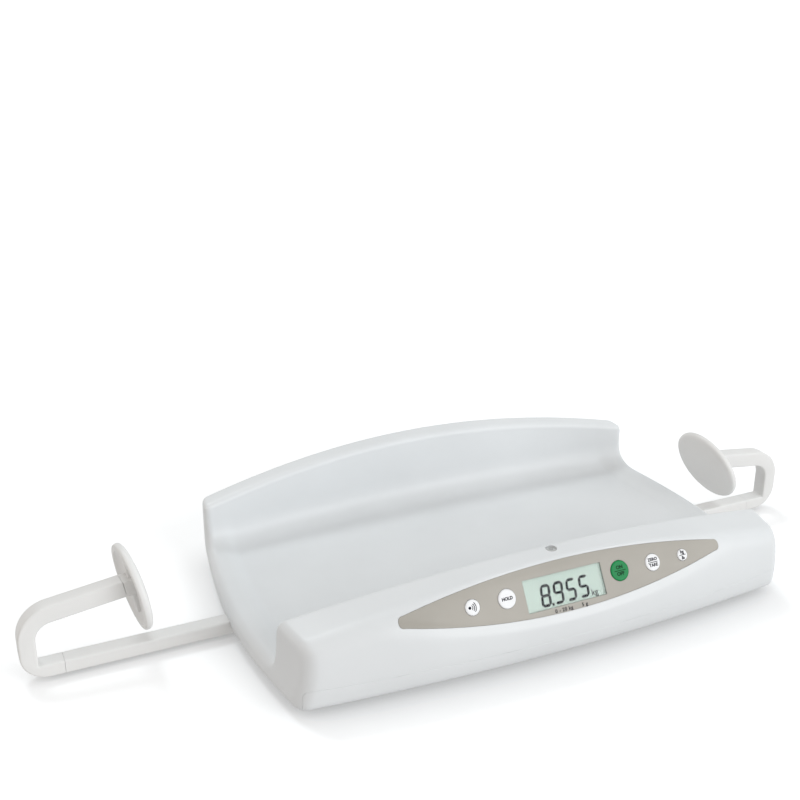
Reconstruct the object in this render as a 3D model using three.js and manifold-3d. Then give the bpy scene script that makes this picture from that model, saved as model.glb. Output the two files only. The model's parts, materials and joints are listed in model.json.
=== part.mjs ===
// A digital weighing scale for babies: a lying trough between a thick front rail and a
// thin rear wall, a lens-shaped control panel, and two sliding rods that measure length.
// Millimetres, +Z up, +X towards the head end, -Y towards the display. It stands on z = 0.

import * as THREE from 'three';
import { mergeVertices } from 'three/addons/utils/BufferGeometryUtils.js';
import Module from 'manifold-3d';

const wasm = await Module();
wasm.setup();

// Clearances and counts that every piece shares
const seatGap = 0.3;
const runGap = 0.4;
const overrun = 3;
const wall = 2.6;
const roundSteps = 14;
const smallSteps = 8;
const hiddenSteps = 12;
const paddleSteps = 20;
const floorDivisions = 6;

// The moulded body, before it is split into the tray and the base
const body = {
  length: 550,
  bottomZ: 8,
  ridgeZ: 82.3,
  ridgeArch: 29.8,
  troughHalfWidth: 134.3,
  ridgeBow: 21.2,
  floorZ: 29,
  lipRise: 4.2,
  lipWidth: 18,
  lipRadius: 9,
  cornerRadius: 12,
  ridgeEndRadius: 8,
  edgeRadius: 12,
  endBulge: 17.9,
  frontBulgeWidth: 170,
  rearBulgeWidth: 184,
  endDraft: 9.5,
  draftFrontY: -60,
  hollowFilletShare: 0.6,
};
const frontRail = {
  edgeY: 188,
  edgeBow: 12,
  topDrop: 2.5,
  topRadius: 17,
  ridgeRadius: 4,
  bellyY: 193,
  bellyBow: 29,
  bellyZ: 44,
  bellyRise: 8,
  heelY: 187,
  heelBow: 18,
  troughFillet: 20,
};
const rearWall = {
  outerY: 147.5,
  thickness: 25,
  flare: 3,
  outerRadius: 5,
  outerShare: 0.4,
  innerRadius: 7,
  innerShare: 0.56,
  innerDrop: 1.5,
  endRadius: 7,
  innerEndRadius: 8,
  topEndRadius: 4,
  troughFillet: 32,
};
const seam = { z: 36.5, floorZ: 26, stepY: -162, pastLength: 2, cornerRadius: 9 };

// The flat facet that carries the control panel: its tilt from upright and its centre
const facet = { tilt: THREE.MathUtils.degToRad(31.7), y: -195.2, z: 87.3, size: 600 };

// The control panel and what is behind it, measured along the facet and square to it
const panel = {
  thickness: 1,
  halfLength: 184,
  topRise: 25.3,
  topSag: 17.3,
  bottomDrop: 26.2,
  bottomSag: 22.3,
  tipRadius: 6,
};
const screen = {
  x: -5,
  v: -3.3,
  width: 90,
  height: 32.5,
  windowThickness: 2.4,
  frameMargin: 4,
  thickness: 5.5,
  bezelDepth: 1,
};
const board = {
  x: 12,
  v: -1,
  width: 292,
  height: 30,
  thickness: 1.6,
  depth: 12.4,
  bossRadius: 3.4,
  bossInset: 5,
};
const sounder = { x: -96, radius: 13, thickness: 6, soundHoleRadius: 2 };
const pressSwitch = { size: 6, height: 3.5, plungerRadius: 1.75, plungerHeight: 0.8 };
const button = { rise: 1.1, dome: 0.8, travel: 0.8, flange: 1.2, flangeThickness: 1.1, stemRadius: 2.4 };
const keyRadius = { sound: 7.7, hold: 9.5, on_off: 10.3, zero_tare: 8.7, unit: 6 };
const keyShares = { sound: -0.5838, hold: -0.38, on_off: 0.3262, zero_tare: 0.5445, unit: 0.7456 };
const keyWhite = 0xf4f5f6;
const keyColor = { sound: keyWhite, hold: keyWhite, on_off: 0x32a564, zero_tare: keyWhite, unit: keyWhite };
const level = { x: -3, behindRidge: 9, rimRadius: 5.6, rimThickness: 1.2, cupRadius: 4.4, cupDepth: 7 };

// The sliding rods and the channel under the body that guides them
const rod = {
  y: -12.4,
  width: 18.9,
  bottomZ: 5.1,
  height: 14.5,
  edgeRadius: 2.2,
  barLength: 265,
  seamInset: 41.5,
  spigotLength: 20,
  spigotInset: 2.6,
  stopLength: 12,
  stopRise: 1.8,
};
const handle = {
  post: 17,
  armHeight: 18.2,
  armTopZ: 79.3,
  armSlope: THREE.MathUtils.degToRad(7.6),
  lowerRadius: 27,
  upperRadius: 36,
  innerRadius: 18,
  innerCorner: 1.2,
};
const paddle = {
  pivotZ: 80.3,
  pivotDepth: 5,
  turn: THREE.MathUtils.degToRad(6),
  stopLean: THREE.MathUtils.degToRad(9.5),
  radius: 46,
  rimThickness: 8,
  dome: 4.5,
  domeShare: 0.8,
  dish: 5,
  dishRadius: 39,
  ribWidth: 8,
  ribLength: 62,
  ribThickness: 3.5,
};
const knuckle = { radius: 4.4, topRise: 12.9, tongueWidth: 6, pinRadius: 1.8, skin: 1.4 };
const footRod = {
  name: 'foot',
  side: -1,
  reach: 508.5,
  pivotReach: 110.5,
  lean: THREE.MathUtils.degToRad(8.8),
};
const headRod = {
  name: 'head',
  side: 1,
  reach: 418.4,
  pivotReach: 100.8,
  lean: THREE.MathUtils.degToRad(-23.5),
};
const rods = [footRod, headRod];
const channel = { rib: 2.2, relief: 2.6, landLength: 27, middleStop: 16 };
const strap = { thickness: 1.4, flange: 9, length: 26, inset: 27, spacing: 190 };

// What stands on the table
const foot = {
  endInset: 51,
  frontY: -134,
  rearY: 112,
  padRadius: 17,
  padHeight: 3,
  padRecess: 1,
  cupRadius: 20,
  cupHeight: 3.4,
  stubRadius: 6,
};
const loadCell = { size: 34, thickness: 2.6, frame: 4.5, slot: 2.2, corner: 4, tongueHole: 14.6 };

// The battery bay in the base
const battery = { radius: 5.2, length: 44, nippleRadius: 1.9, nippleLength: 1, count: 4, pitch: 11.2 };
const bay = { y: 64, contactSpace: 3.6, wall: 1.8, side: 1.2, roofGap: 0.5 };
const contact = { thickness: 0.8, height: 6, bumpRadius: 2.6 };
const door = {
  thickness: 2,
  lugWidth: 9,
  lugReach: 2.6,
  lugThickness: 1.2,
  latchWidth: 14,
  latchReach: 3,
  gripRadius: 5,
  gripDepth: 0.8,
};

// The screws that hold the base to the tray
const screw = {
  headRadius: 3.4,
  headHeight: 1.6,
  shankRadius: 1.4,
  length: 13,
  bossRadius: 4.2,
  recess: 0.4,
  seatRadius: 6.2,
  seatHeight: 1.6,
};
const screwPlaces = [
  { name: 'foot_end_front', xShare: -0.9, yShare: -0.62 },
  { name: 'foot_end_rear', xShare: -0.9, yShare: 0.42 },
  { name: 'middle_front', xShare: 0.18, yShare: -0.72 },
  { name: 'middle_rear', xShare: 0.3, yShare: 0.66 },
  { name: 'head_end_front', xShare: 0.9, yShare: -0.62 },
  { name: 'head_end_rear', xShare: 0.9, yShare: 0.42 },
];

// Sizes that follow from the ones above
const halfLength = body.length / 2;
const skirtReach = halfLength + seam.pastLength;
const footX = skirtReach - foot.endInset;
const barTopZ = rod.bottomZ + rod.height;
const channelRoofZ = barTopZ + runGap;
const channelHalfWidth = rod.width / 2 + runGap;
const floorTopZ = body.bottomZ + wall;
const screwSeatZ = floorTopZ + screw.seatHeight;
const underHeadZ = body.bottomZ + screw.recess + screw.headHeight;
const screwTipZ = underHeadZ + screw.length;

const buttons = Object.keys(keyRadius).map((key) => ({
  name: `${key}_button`,
  x: keyShares[key] * panel.halfLength,
  radius: keyRadius[key],
  color: keyColor[key],
}));

// Colours and finishes
const finish = {
  shell: { color: 0xdfe3e6, roughness: 0.42, metalness: 0 },
  rodShell: { color: 0xd9dadb, roughness: 0.45, metalness: 0 },
  panel: { color: 0xaaa69b, roughness: 0.5, metalness: 0 },
  window: { color: 0xdfeee6, roughness: 0.08, metalness: 0 },
  screen: { color: 0xc6dccf, roughness: 0.3, metalness: 0 },
  board: { color: 0x2c6b45, roughness: 0.55, metalness: 0 },
  dark: { color: 0x2b2c2e, roughness: 0.6, metalness: 0 },
  rubber: { color: 0x3a3b3d, roughness: 0.9, metalness: 0 },
  steel: { color: 0xb9bcc0, roughness: 0.35, metalness: 1 },
  level: { color: 0x9ea7a3, roughness: 0.2, metalness: 0 },
  cell: { color: 0x8a6a3c, roughness: 0.4, metalness: 0.2 },
};

const scale = new THREE.Group();

/** A closed geometry as a solid that can be cut and joined. */
function solidOf(geometry) {
  const bare = geometry.clone();
  bare.deleteAttribute('normal');
  bare.deleteAttribute('uv');
  const merged = mergeVertices(bare);
  const vertProperties = new Float32Array(merged.attributes.position.array);
  const triVerts = new Uint32Array(merged.index.array);
  return new wasm.Manifold(new wasm.Mesh({ numProp: 3, vertProperties, triVerts }));
}

/** A solid as a geometry again. */
function geometryOf(solid) {
  const mesh = solid.getMesh();
  const geometry = new THREE.BufferGeometry();
  geometry.setAttribute('position', new THREE.BufferAttribute(mesh.vertProperties, 3));
  geometry.setIndex(new THREE.BufferAttribute(mesh.triVerts, 1));
  return geometry;
}

/** Adds one named piece to a group. */
function addPiece(group, name, shape, look) {
  const geometry = shape.isBufferGeometry ? shape : geometryOf(shape);
  const mesh = new THREE.Mesh(geometry, new THREE.MeshStandardMaterial(look));
  mesh.name = name;
  group.add(mesh);
  return mesh;
}

/** Joins all solids into one. */
function joined(solids) {
  return solids.reduce((sum, next) => sum.add(next));
}

/** A box between two corners. */
function boxBetween(low, high) {
  const geometry = new THREE.BoxGeometry(high[0] - low[0], high[1] - low[1], high[2] - low[2]);
  geometry.translate((low[0] + high[0]) / 2, (low[1] + high[1]) / 2, (low[2] + high[2]) / 2);
  return solidOf(geometry);
}

/** An upright round bar from one height to another. */
function roundPost(x, y, radius, lowZ, highZ, steps = roundSteps) {
  const geometry = new THREE.CylinderGeometry(radius, radius, highZ - lowZ, steps);
  geometry.rotateX(Math.PI / 2);
  geometry.translate(x, y, (lowZ + highZ) / 2);
  return solidOf(geometry);
}

/** A rectangle with round corners, centred on a point. */
function roundedRectangle(width, height, radius, centreX = 0, centreY = 0) {
  const x = width / 2;
  const y = height / 2;
  const r = Math.min(radius, x, y);
  const shape = new THREE.Shape();
  shape.moveTo(centreX + x - r, centreY - y);
  shape.absarc(centreX + x - r, centreY - y + r, r, -Math.PI / 2, 0);
  shape.absarc(centreX + x - r, centreY + y - r, r, 0, Math.PI / 2);
  shape.absarc(centreX - x + r, centreY + y - r, r, Math.PI / 2, Math.PI);
  shape.absarc(centreX - x + r, centreY - y + r, r, Math.PI, Math.PI * 1.5);
  return shape;
}

/** An outline through corner points, each rounded with an arc of its own radius. */
function roundedOutline(corners) {
  const shape = new THREE.Shape();
  corners.forEach((corner, i) => {
    const at = new THREE.Vector2(corner.x, corner.y);
    const before = corners[(i + corners.length - 1) % corners.length];
    const after = corners[(i + 1) % corners.length];
    const back = new THREE.Vector2(before.x, before.y).sub(at).normalize();
    const on = new THREE.Vector2(after.x, after.y).sub(at).normalize();
    const halfAngle = Math.acos(THREE.MathUtils.clamp(back.dot(on), -1, 1)) / 2;
    const tangent = corner.radius / Math.tan(halfAngle);
    const start = at.clone().addScaledVector(back, tangent);
    const end = at.clone().addScaledVector(on, tangent);
    const inward = back.clone().add(on).normalize();
    const centre = at.clone().addScaledVector(inward, corner.radius / Math.sin(halfAngle));
    const startAngle = start.clone().sub(centre).angle();
    const endAngle = end.clone().sub(centre).angle();
    const clockwise = back.cross(on) > 0;
    if (i === 0) {
      shape.moveTo(start.x, start.y);
    } else {
      shape.lineTo(start.x, start.y);
    }
    shape.absarc(centre.x, centre.y, corner.radius, startAngle, endAngle, clockwise);
  });
  return shape;
}

/** Extrudes an outline drawn in X and Z along Y, from lowY to highY. */
function extrudeAlongY(shape, lowY, highY, curveSegments = 6) {
  const geometry = new THREE.ExtrudeGeometry(shape, {
    depth: highY - lowY,
    bevelEnabled: false,
    curveSegments,
  });
  geometry.rotateX(Math.PI / 2);
  geometry.translate(0, highY, 0);
  return solidOf(geometry);
}

/** Extrudes an outline drawn in Y and Z along X, from lowX to highX. */
function extrudeAlongX(shape, lowX, highX, curveSegments = 3) {
  const geometry = new THREE.ExtrudeGeometry(shape, {
    depth: highX - lowX,
    bevelEnabled: false,
    curveSegments,
  });
  geometry.applyMatrix4(
    new THREE.Matrix4().makeBasis(
      new THREE.Vector3(0, 1, 0),
      new THREE.Vector3(0, 0, 1),
      new THREE.Vector3(1, 0, 0),
    ),
  );
  geometry.translate(lowX, 0, 0);
  return solidOf(geometry);
}

/** How far a rounded edge has drawn in at x, close to an end that lies at reach. */
function drawIn(x, radius, reach) {
  const past = Math.max(0, Math.abs(x) - (reach - radius));
  return radius - Math.sqrt(Math.max(0, radius ** 2 - past ** 2));
}

/** Points of a curve from one point to another, pulled towards a corner between them. */
function turn(from, corner, to, steps) {
  return new THREE.QuadraticBezierCurve(from, corner, to).getPoints(steps);
}

const point = (y, z) => new THREE.Vector2(y, z);

/** 1 at the middle of the length and 0 at the end faces. */
const bowAt = (x) => 1 - (x / halfLength) ** 2;

/**
 * The body's cross-section at x, drawn in by inset for the hollow. The floor and the
 * underside have points at the same places across, so that the end faces can be closed
 * in narrow strips.
 */
function bodySection(x, inset, fine) {
  const bow = bowAt(x);
  const reach = halfLength - inset;
  const corner = drawIn(x, body.cornerRadius - inset, reach);
  const topDraw = drawIn(x, body.ridgeEndRadius - inset, reach);
  const lowDraw = drawIn(x, body.edgeRadius - inset, reach);
  const lipDraw = drawIn(x, body.lipRadius - inset, reach);
  const topZ = body.ridgeZ + body.ridgeArch * bow - topDraw - inset;
  const bottomZ = body.bottomZ + lowDraw + inset;
  const edgeRadius = body.edgeRadius - inset;
  const troughY = body.troughHalfWidth + body.ridgeBow * bow;
  const innerY = troughY + inset;
  const lipEnd = halfLength - body.lipWidth;
  const lipShare = THREE.MathUtils.smoothstep(Math.abs(x), lipEnd - body.lipWidth, lipEnd);
  const floorZ = body.floorZ + body.lipRise * lipShare - lipDraw - inset;

  const filletShare = inset > 0 ? body.hollowFilletShare : 1;
  const frontFloorY = -(troughY - frontRail.troughFillet);
  const rearBowY = rearWall.outerY + body.ridgeBow * bow;
  const rearTroughY = rearBowY - rearWall.thickness;
  const rearFloorY = rearTroughY - rearWall.troughFillet;
  const floorYs = [];
  for (let i = 0; i <= floorDivisions; i += 1) {
    floorYs.push(THREE.MathUtils.lerp(frontFloorY, rearFloorY, i / floorDivisions));
  }

  const draw = corner + inset;
  const topEdge = point(-(frontRail.edgeY + frontRail.edgeBow * bow) + draw, topZ - frontRail.topDrop);
  const belly = point(
    -(frontRail.bellyY + frontRail.bellyBow * bow) + draw,
    frontRail.bellyZ + frontRail.bellyRise * bow,
  );
  const heel = point(-(frontRail.heelY + frontRail.heelBow * bow) + draw, bottomZ + edgeRadius);
  const ridgeRadius = Math.max(frontRail.ridgeRadius - inset, frontRail.ridgeRadius / 4);
  const topRadius = frontRail.topRadius - inset;
  const ridgeFront = point(-innerY - ridgeRadius, topZ);
  const toRidge = ridgeFront.clone().sub(topEdge).normalize();
  const toBelly = belly.clone().sub(topEdge).normalize();
  const topStart = topEdge.clone().addScaledVector(toRidge, topRadius);
  const topEnd = topEdge.clone().addScaledVector(toBelly, topRadius);
  const lowSlope = (heel.x - belly.x) / (belly.y - heel.y);
  const heelCorner = point(heel.x + lowSlope * edgeRadius, bottomZ);
  const heelEnd = point(heelCorner.x + edgeRadius, bottomZ);

  const rearY = rearBowY - drawIn(x, rearWall.endRadius - inset, reach) - inset;
  const rearLowY = rearY + rearWall.flare;
  const rearInnerY = rearTroughY + drawIn(x, rearWall.innerEndRadius - inset, reach) + inset;
  const rearTopDraw = drawIn(x, rearWall.topEndRadius - inset, reach);
  const rearTopZ = body.ridgeZ + body.ridgeArch * bow - rearTopDraw - inset;
  const rearTopSlope = rearWall.innerDrop / (rearY - rearInnerY);
  const outerRadius = Math.min(rearWall.outerRadius, (rearY - rearInnerY) * rearWall.outerShare);
  const innerRadius = Math.min(rearWall.innerRadius, (rearY - rearInnerY) * rearWall.innerShare);
  const rearInnerTop = point(rearInnerY, rearTopZ - rearWall.innerDrop);

  const underside = floorYs.map((y) => point(y, bottomZ));
  const floor = floorYs.map((y) => point(y, floorZ)).reverse();
  const rear = [
    ...turn(
      point(rearLowY - edgeRadius, bottomZ),
      point(rearLowY, bottomZ),
      point(rearLowY, bottomZ + edgeRadius),
      fine,
    ),
    ...turn(
      point(rearY, rearTopZ - outerRadius),
      point(rearY, rearTopZ),
      point(rearY - outerRadius, rearTopZ - rearTopSlope * outerRadius),
      fine,
    ),
    ...turn(
      point(rearInnerY + innerRadius, rearInnerTop.y + rearTopSlope * innerRadius),
      rearInnerTop,
      point(rearInnerY, rearInnerTop.y - innerRadius),
      fine,
    ),
    ...turn(
      point(rearInnerY, floorZ + rearWall.troughFillet * filletShare + inset),
      point(rearInnerY, floorZ),
      point(rearFloorY, floorZ),
      fine * 2,
    ).slice(0, -1),
  ];
  const front = [
    ...turn(
      point(frontFloorY, floorZ),
      point(-innerY, floorZ),
      point(-innerY, floorZ + frontRail.troughFillet * filletShare + inset),
      fine + 1,
    ).slice(1),
    ...turn(point(-innerY, topZ - ridgeRadius), point(-innerY, topZ), ridgeFront, fine),
    ...turn(topStart, topEdge, topEnd, fine * 2),
    ...turn(topEnd, belly, heel, fine * 2).slice(1),
    ...turn(heel, heelCorner, heelEnd, fine).slice(1),
  ];
  return { ring: [...underside, ...rear, ...floor, ...front], rearCount: rear.length };
}

/** Leans and bulges the end faces: a point is moved along X by its place across and up. */
function placeOnBody(x, y, z) {
  const bulgeWidth = y < rod.y ? body.frontBulgeWidth : body.rearBulgeWidth;
  const bulge = body.endBulge * (1 - ((y - rod.y) / bulgeWidth) ** 2);
  const depthShare = Math.max(0, body.ridgeZ - z) / (body.ridgeZ - body.bottomZ);
  const rearShare = THREE.MathUtils.smoothstep(y, body.draftFrontY, rearWall.outerY);
  const draft = body.endDraft * depthShare ** 2 * (1 - rearShare);
  return new THREE.Vector3(x * (1 + (bulge + draft) / halfLength), y, z);
}

/**
 * Stations along the body: close together where its ends turn round, two at the slope
 * behind the trough's lip, and evenly spread between them.
 */
function stationsTo(reach, radius, endSteps, middleSteps) {
  const start = reach - radius;
  const right = [halfLength - 2 * body.lipWidth, halfLength - body.lipWidth];
  for (let i = 0; i <= endSteps; i += 1) {
    right.push(start + radius * Math.sin((i / endSteps) * (Math.PI / 2)));
  }
  const middle = [];
  for (let i = 1; i < middleSteps; i += 1) {
    middle.push(THREE.MathUtils.lerp(-right[0], right[0], i / middleSteps));
  }
  return [...right.map((x) => -x).reverse(), ...middle, ...right];
}

/** Lofts the cross-sections into one closed solid and closes both of its end faces. */
function loftBody(inset, fine, endSteps, middleSteps) {
  const stations = stationsTo(halfLength - inset, body.cornerRadius - inset, endSteps, middleSteps);
  const sections = stations.map((x) => bodySection(x, inset, fine));
  const size = sections[0].ring.length;
  const vertices = [];
  sections.forEach(({ ring }, s) => {
    ring.forEach((p) => vertices.push(...placeOnBody(stations[s], p.x, p.y).toArray()));
  });
  const triangles = [];
  for (let s = 0; s < stations.length - 1; s += 1) {
    for (let i = 0; i < size; i += 1) {
      const a = s * size + i;
      const b = s * size + ((i + 1) % size);
      triangles.push(a, b, a + size, b, b + size, a + size);
    }
  }
  for (const end of [0, stations.length - 1]) {
    const first = end * size;
    const { ring, rearCount } = sections[end];
    const faces = [];
    const floorStart = floorDivisions + 1 + rearCount;
    const floorIndex = (i) => floorStart + floorDivisions - i;
    for (let i = 0; i < floorDivisions; i += 1) {
      faces.push([i, i + 1, floorIndex(i + 1)], [i, floorIndex(i + 1), floorIndex(i)]);
    }
    const rearChain = Array.from({ length: rearCount + 2 }, (_, i) => floorDivisions + i);
    const frontChain = [];
    for (let i = floorIndex(0); i <= size; i += 1) {
      frontChain.push(i % size);
    }
    for (const chain of [rearChain, frontChain]) {
      for (const face of THREE.ShapeUtils.triangulateShape(chain.map((i) => ring[i]), [])) {
        faces.push(face.map((i) => chain[i]));
      }
    }
    for (const [a, b, c] of faces) {
      triangles.push(first + a, first + (end === 0 ? c : b), first + (end === 0 ? b : c));
    }
  }
  const geometry = new THREE.BufferGeometry();
  geometry.setAttribute('position', new THREE.Float32BufferAttribute(vertices, 3));
  geometry.setIndex(triangles);
  return solidOf(geometry);
}

// A frame on the facet: x along the panel, y up the slope and z out of the face
const panelFrame = new THREE.Group();
panelFrame.position.set(0, facet.y, facet.z);
panelFrame.rotation.x = Math.PI / 2 - facet.tilt;
panelFrame.updateMatrix();
scale.add(panelFrame);

/** A solid that was drawn on the facet, placed on the body. */
function onFacet(solid) {
  return solid.transform(panelFrame.matrix.elements);
}

/** Extrudes an outline drawn on the facet from one depth to another. */
function facetPrism(shape, lowDepth, highDepth, curveSegments = 6) {
  const geometry = new THREE.ExtrudeGeometry(shape, {
    depth: highDepth - lowDepth,
    bevelEnabled: false,
    curveSegments,
  });
  geometry.translate(0, 0, lowDepth);
  return solidOf(geometry);
}

/** A round bar square to the facet. */
function facetPost(x, v, radius, lowDepth, highDepth, steps = roundSteps) {
  return roundPost(x, v, radius, lowDepth, highDepth, steps);
}

/** Everything that lies further out than a depth below the facet. */
function beyondFacet(depth) {
  const half = facet.size / 2;
  return onFacet(boxBetween([-half, -half, -depth], [half, half, half]));
}

/** The lens-shaped outline of the control panel, drawn in by margin. */
function lensOutline(margin) {
  const tip = panel.tipRadius - margin;
  const tipX = panel.halfLength - panel.tipRadius;
  const tipTopV = panel.topRise - panel.topSag - margin;
  const tipLowV = panel.bottomSag - panel.bottomDrop + margin;
  const topV = panel.topRise + panel.topSag - margin;
  const lowV = -panel.bottomDrop - panel.bottomSag + margin;
  const shape = new THREE.Shape();
  shape.moveTo(-tipX, tipLowV);
  shape.quadraticCurveTo(0, lowV, tipX, tipLowV);
  shape.quadraticCurveTo(tipX + tip, tipLowV, tipX + tip, (tipLowV + tipTopV) / 2);
  shape.quadraticCurveTo(tipX + tip, tipTopV, tipX, tipTopV);
  shape.quadraticCurveTo(0, topV, -tipX, tipTopV);
  shape.quadraticCurveTo(-tipX - tip, tipTopV, -tipX - tip, (tipLowV + tipTopV) / 2);
  shape.quadraticCurveTo(-tipX - tip, tipLowV, -tipX, tipLowV);
  return shape;
}

// Depths below the facet of what is stacked behind the panel
const recessDepth = panel.thickness + seatGap;
const flangeTop = wall + seatGap;
const flangeLow = flangeTop + button.flangeThickness;
const boardTop = board.depth;
const switchTop = boardTop - seatGap - pressSwitch.height;
const plungerTop = switchTop - pressSwitch.plungerHeight;
const stemLow = plungerTop - seatGap - button.travel;
const boardBosses = [-1, 1].flatMap((x) => [-1, 1].map((v) => [
  board.x + x * (board.width / 2 - board.bossInset),
  board.v + v * (board.height / 2 - board.bossInset),
]));

/** The case screws' places on the body. */
const screwSpots = screwPlaces.map(({ name, xShare, yShare }) => ({
  name,
  x: xShare * (skirtReach - screw.bossRadius),
  y: yShare * body.troughHalfWidth,
}));

const feet = [
  { name: 'foot_end_front', x: -footX, y: foot.frontY },
  { name: 'foot_end_rear', x: -footX, y: foot.rearY },
  { name: 'head_end_front', x: footX, y: foot.frontY },
  { name: 'head_end_rear', x: footX, y: foot.rearY },
];

const levelY = -(body.troughHalfWidth + body.ridgeBow + level.behindRidge);
const levelTopZ = body.ridgeZ + body.ridgeArch - frontRail.topDrop / 2 + seatGap;

// The two shells, split along the seam
const outerBody = loftBody(0, 2, 3, 8).subtract(beyondFacet(0));
const hollow = loftBody(wall, 1, 1, 5).subtract(beyondFacet(wall));

/**
 * The part of the body that belongs to the base, grown by a gap. It reaches higher along
 * the front than under the trough.
 */
function baseBlock(grow) {
  const width = 2 * (skirtReach + grow);
  const lowZ = body.bottomZ - overrun - seam.cornerRadius;
  const reach = facet.size / 2;
  const blocks = [
    { highZ: seam.floorZ + grow, lowY: -reach, highY: reach },
    { highZ: seam.z + grow, lowY: -reach, highY: seam.stepY + grow },
  ];
  return joined(blocks.map(({ highZ, lowY, highY }) => {
    const shape = roundedRectangle(width, highZ - lowZ, seam.cornerRadius, 0, (highZ + lowZ) / 2);
    return extrudeAlongY(shape, lowY, highY);
  }));
}

/** The rods' channel, open below, as a cutter that runs past both end faces. */
function channelCut(grow, highZ, halfReach) {
  return boxBetween(
    [-halfReach, rod.y - channelHalfWidth - grow, -overrun],
    [halfReach, rod.y + channelHalfWidth + grow, highZ],
  );
}

const pastEnds = halfLength + body.endBulge + body.endDraft + overrun;

function makeTray() {
  const bosses = screwSpots.map(({ x, y }) => (
    roundPost(x, y, screw.bossRadius, screwSeatZ + seatGap, body.floorZ - wall / 2, smallSteps)
  ));
  const boardPosts = boardBosses.map(([x, v]) => (
    onFacet(facetPost(x, v, board.bossRadius, -(boardTop - seatGap), -wall / 2, smallSteps))
  ));
  let tray = joined([outerBody.subtract(hollow).subtract(baseBlock(seatGap / 2)), ...bosses, ...boardPosts]);
  tray = tray.subtract(channelCut(0, channelRoofZ, pastEnds));
  for (const { x, y } of screwSpots) {
    tray = tray.subtract(roundPost(x, y, screw.shankRadius + seatGap, 0, screwTipZ + seatGap, smallSteps));
  }
  tray = tray.subtract(onFacet(facetPrism(lensOutline(-seatGap), -recessDepth, overrun)));
  const opening = roundedRectangle(screen.width, screen.height, seatGap, screen.x, screen.v);
  tray = tray.subtract(onFacet(facetPrism(opening, -wall * 2, overrun, 2)));
  for (const { x, radius } of buttons) {
    tray = tray.subtract(onFacet(facetPost(x, 0, radius + runGap, -wall * 2, overrun)));
  }
  const rimLowZ = levelTopZ - level.rimThickness - seatGap;
  tray = tray.subtract(roundPost(level.x, levelY, level.rimRadius + seatGap, rimLowZ, levelTopZ + overrun));
  tray = tray.subtract(roundPost(level.x, levelY, level.cupRadius + seatGap, rimLowZ - wall * 2, levelTopZ));
  addPiece(scale, 'weighing_tray', tray, finish.shell);
}

/** The hollow in the base that holds the cells, from its low corner to its high one. */
function bayCorners() {
  const halfX = (battery.count * battery.pitch) / 2 + bay.side;
  const halfY = battery.length / 2 + bay.contactSpace;
  const roofZ = floorTopZ + seatGap + 2 * battery.radius + bay.roofGap;
  return { low: [-halfX, bay.y - halfY, body.bottomZ], high: [halfX, bay.y + halfY, roofZ] };
}

function makeBase() {
  const endWallX = skirtReach - seatGap / 2 - wall;
  const betweenEnds = boxBetween([-endWallX, -facet.size, 0], [endWallX, facet.size, facet.size]);
  const insideHollow = hollow.intersect(betweenEnds);
  let base = outerBody.subtract(insideHollow).intersect(baseBlock(-seatGap / 2));
  const ribs = channel.rib;
  const roofZ = channelRoofZ + channel.relief + ribs;
  const channelBox = boxBetween(
    [-endWallX - wall / 2, rod.y - channelHalfWidth - ribs, body.bottomZ],
    [endWallX + wall / 2, rod.y + channelHalfWidth + ribs, roofZ],
  );
  const { low, high } = bayCorners();
  const bayBox = boxBetween(
    [low[0] - bay.wall, low[1] - bay.wall, low[2]],
    [high[0] + bay.wall, high[1] + bay.wall, high[2] + bay.wall],
  );
  const ledgeTop = floorTopZ + seatGap;
  const cellSeats = feet.map(({ x, y }) => {
    const half = loadCell.size / 2 + seatGap + wall / 2;
    return boxBetween([x - half, y - half, body.bottomZ], [x + half, y + half, ledgeTop]);
  });
  const screwSeats = screwSpots.map(({ x, y }) => (
    roundPost(x, y, screw.seatRadius, body.bottomZ, screwSeatZ, smallSteps)
  ));
  base = joined([base, channelBox, bayBox, ...cellSeats, ...screwSeats]);
  base = base.subtract(channelCut(0, channelRoofZ, pastEnds));
  const reliefReach = skirtReach - channel.landLength;
  for (const side of [-1, 1]) {
    const ends = [(side * channel.middleStop) / 2, side * reliefReach].sort((a, b) => a - b);
    const half = channelHalfWidth - ribs;
    base = base.subtract(boxBetween(
      [ends[0], rod.y - half, channelRoofZ - overrun],
      [ends[1], rod.y + half, channelRoofZ + channel.relief],
    ));
  }
  base = base.subtract(boxBetween([low[0], low[1], 0], high));
  const lugSlot = door.lugReach + runGap;
  const lugPlay = seatGap + 2 * runGap;
  for (const side of [-1, 1]) {
    const x = doorLugX(side);
    const half = door.lugWidth / 2 + runGap;
    base = base.subtract(boxBetween(
      [x - half, high[1] - overrun, floorTopZ],
      [x + half, high[1] + lugSlot, floorTopZ + door.lugThickness + lugPlay],
    ));
  }
  const latchHalf = door.latchWidth / 2 + runGap;
  base = base.subtract(boxBetween(
    [-latchHalf, low[1] - door.latchReach - runGap, 0],
    [latchHalf, low[1] + overrun, floorTopZ],
  ));
  for (const { x, y } of feet) {
    base = base.subtract(roundPost(x, y, loadCell.tongueHole, 0, ledgeTop + overrun));
    base = base.subtract(roundPost(x, y, foot.cupRadius + runGap, 0, body.bottomZ + wall / 2));
  }
  for (const { x, y } of screwSpots) {
    base = base.subtract(roundPost(x, y, screw.shankRadius + seatGap, 0, screwSeatZ + overrun, smallSteps));
    base = base.subtract(roundPost(x, y, screw.headRadius + seatGap, 0, underHeadZ + seatGap, smallSteps));
  }
  addPiece(scale, 'base_shell', base, finish.shell);
}

/** Where the door's hinge lugs stand along X. */
function doorLugX(side) {
  const { high } = bayCorners();
  return side * (high[0] - door.lugWidth);
}

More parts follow.
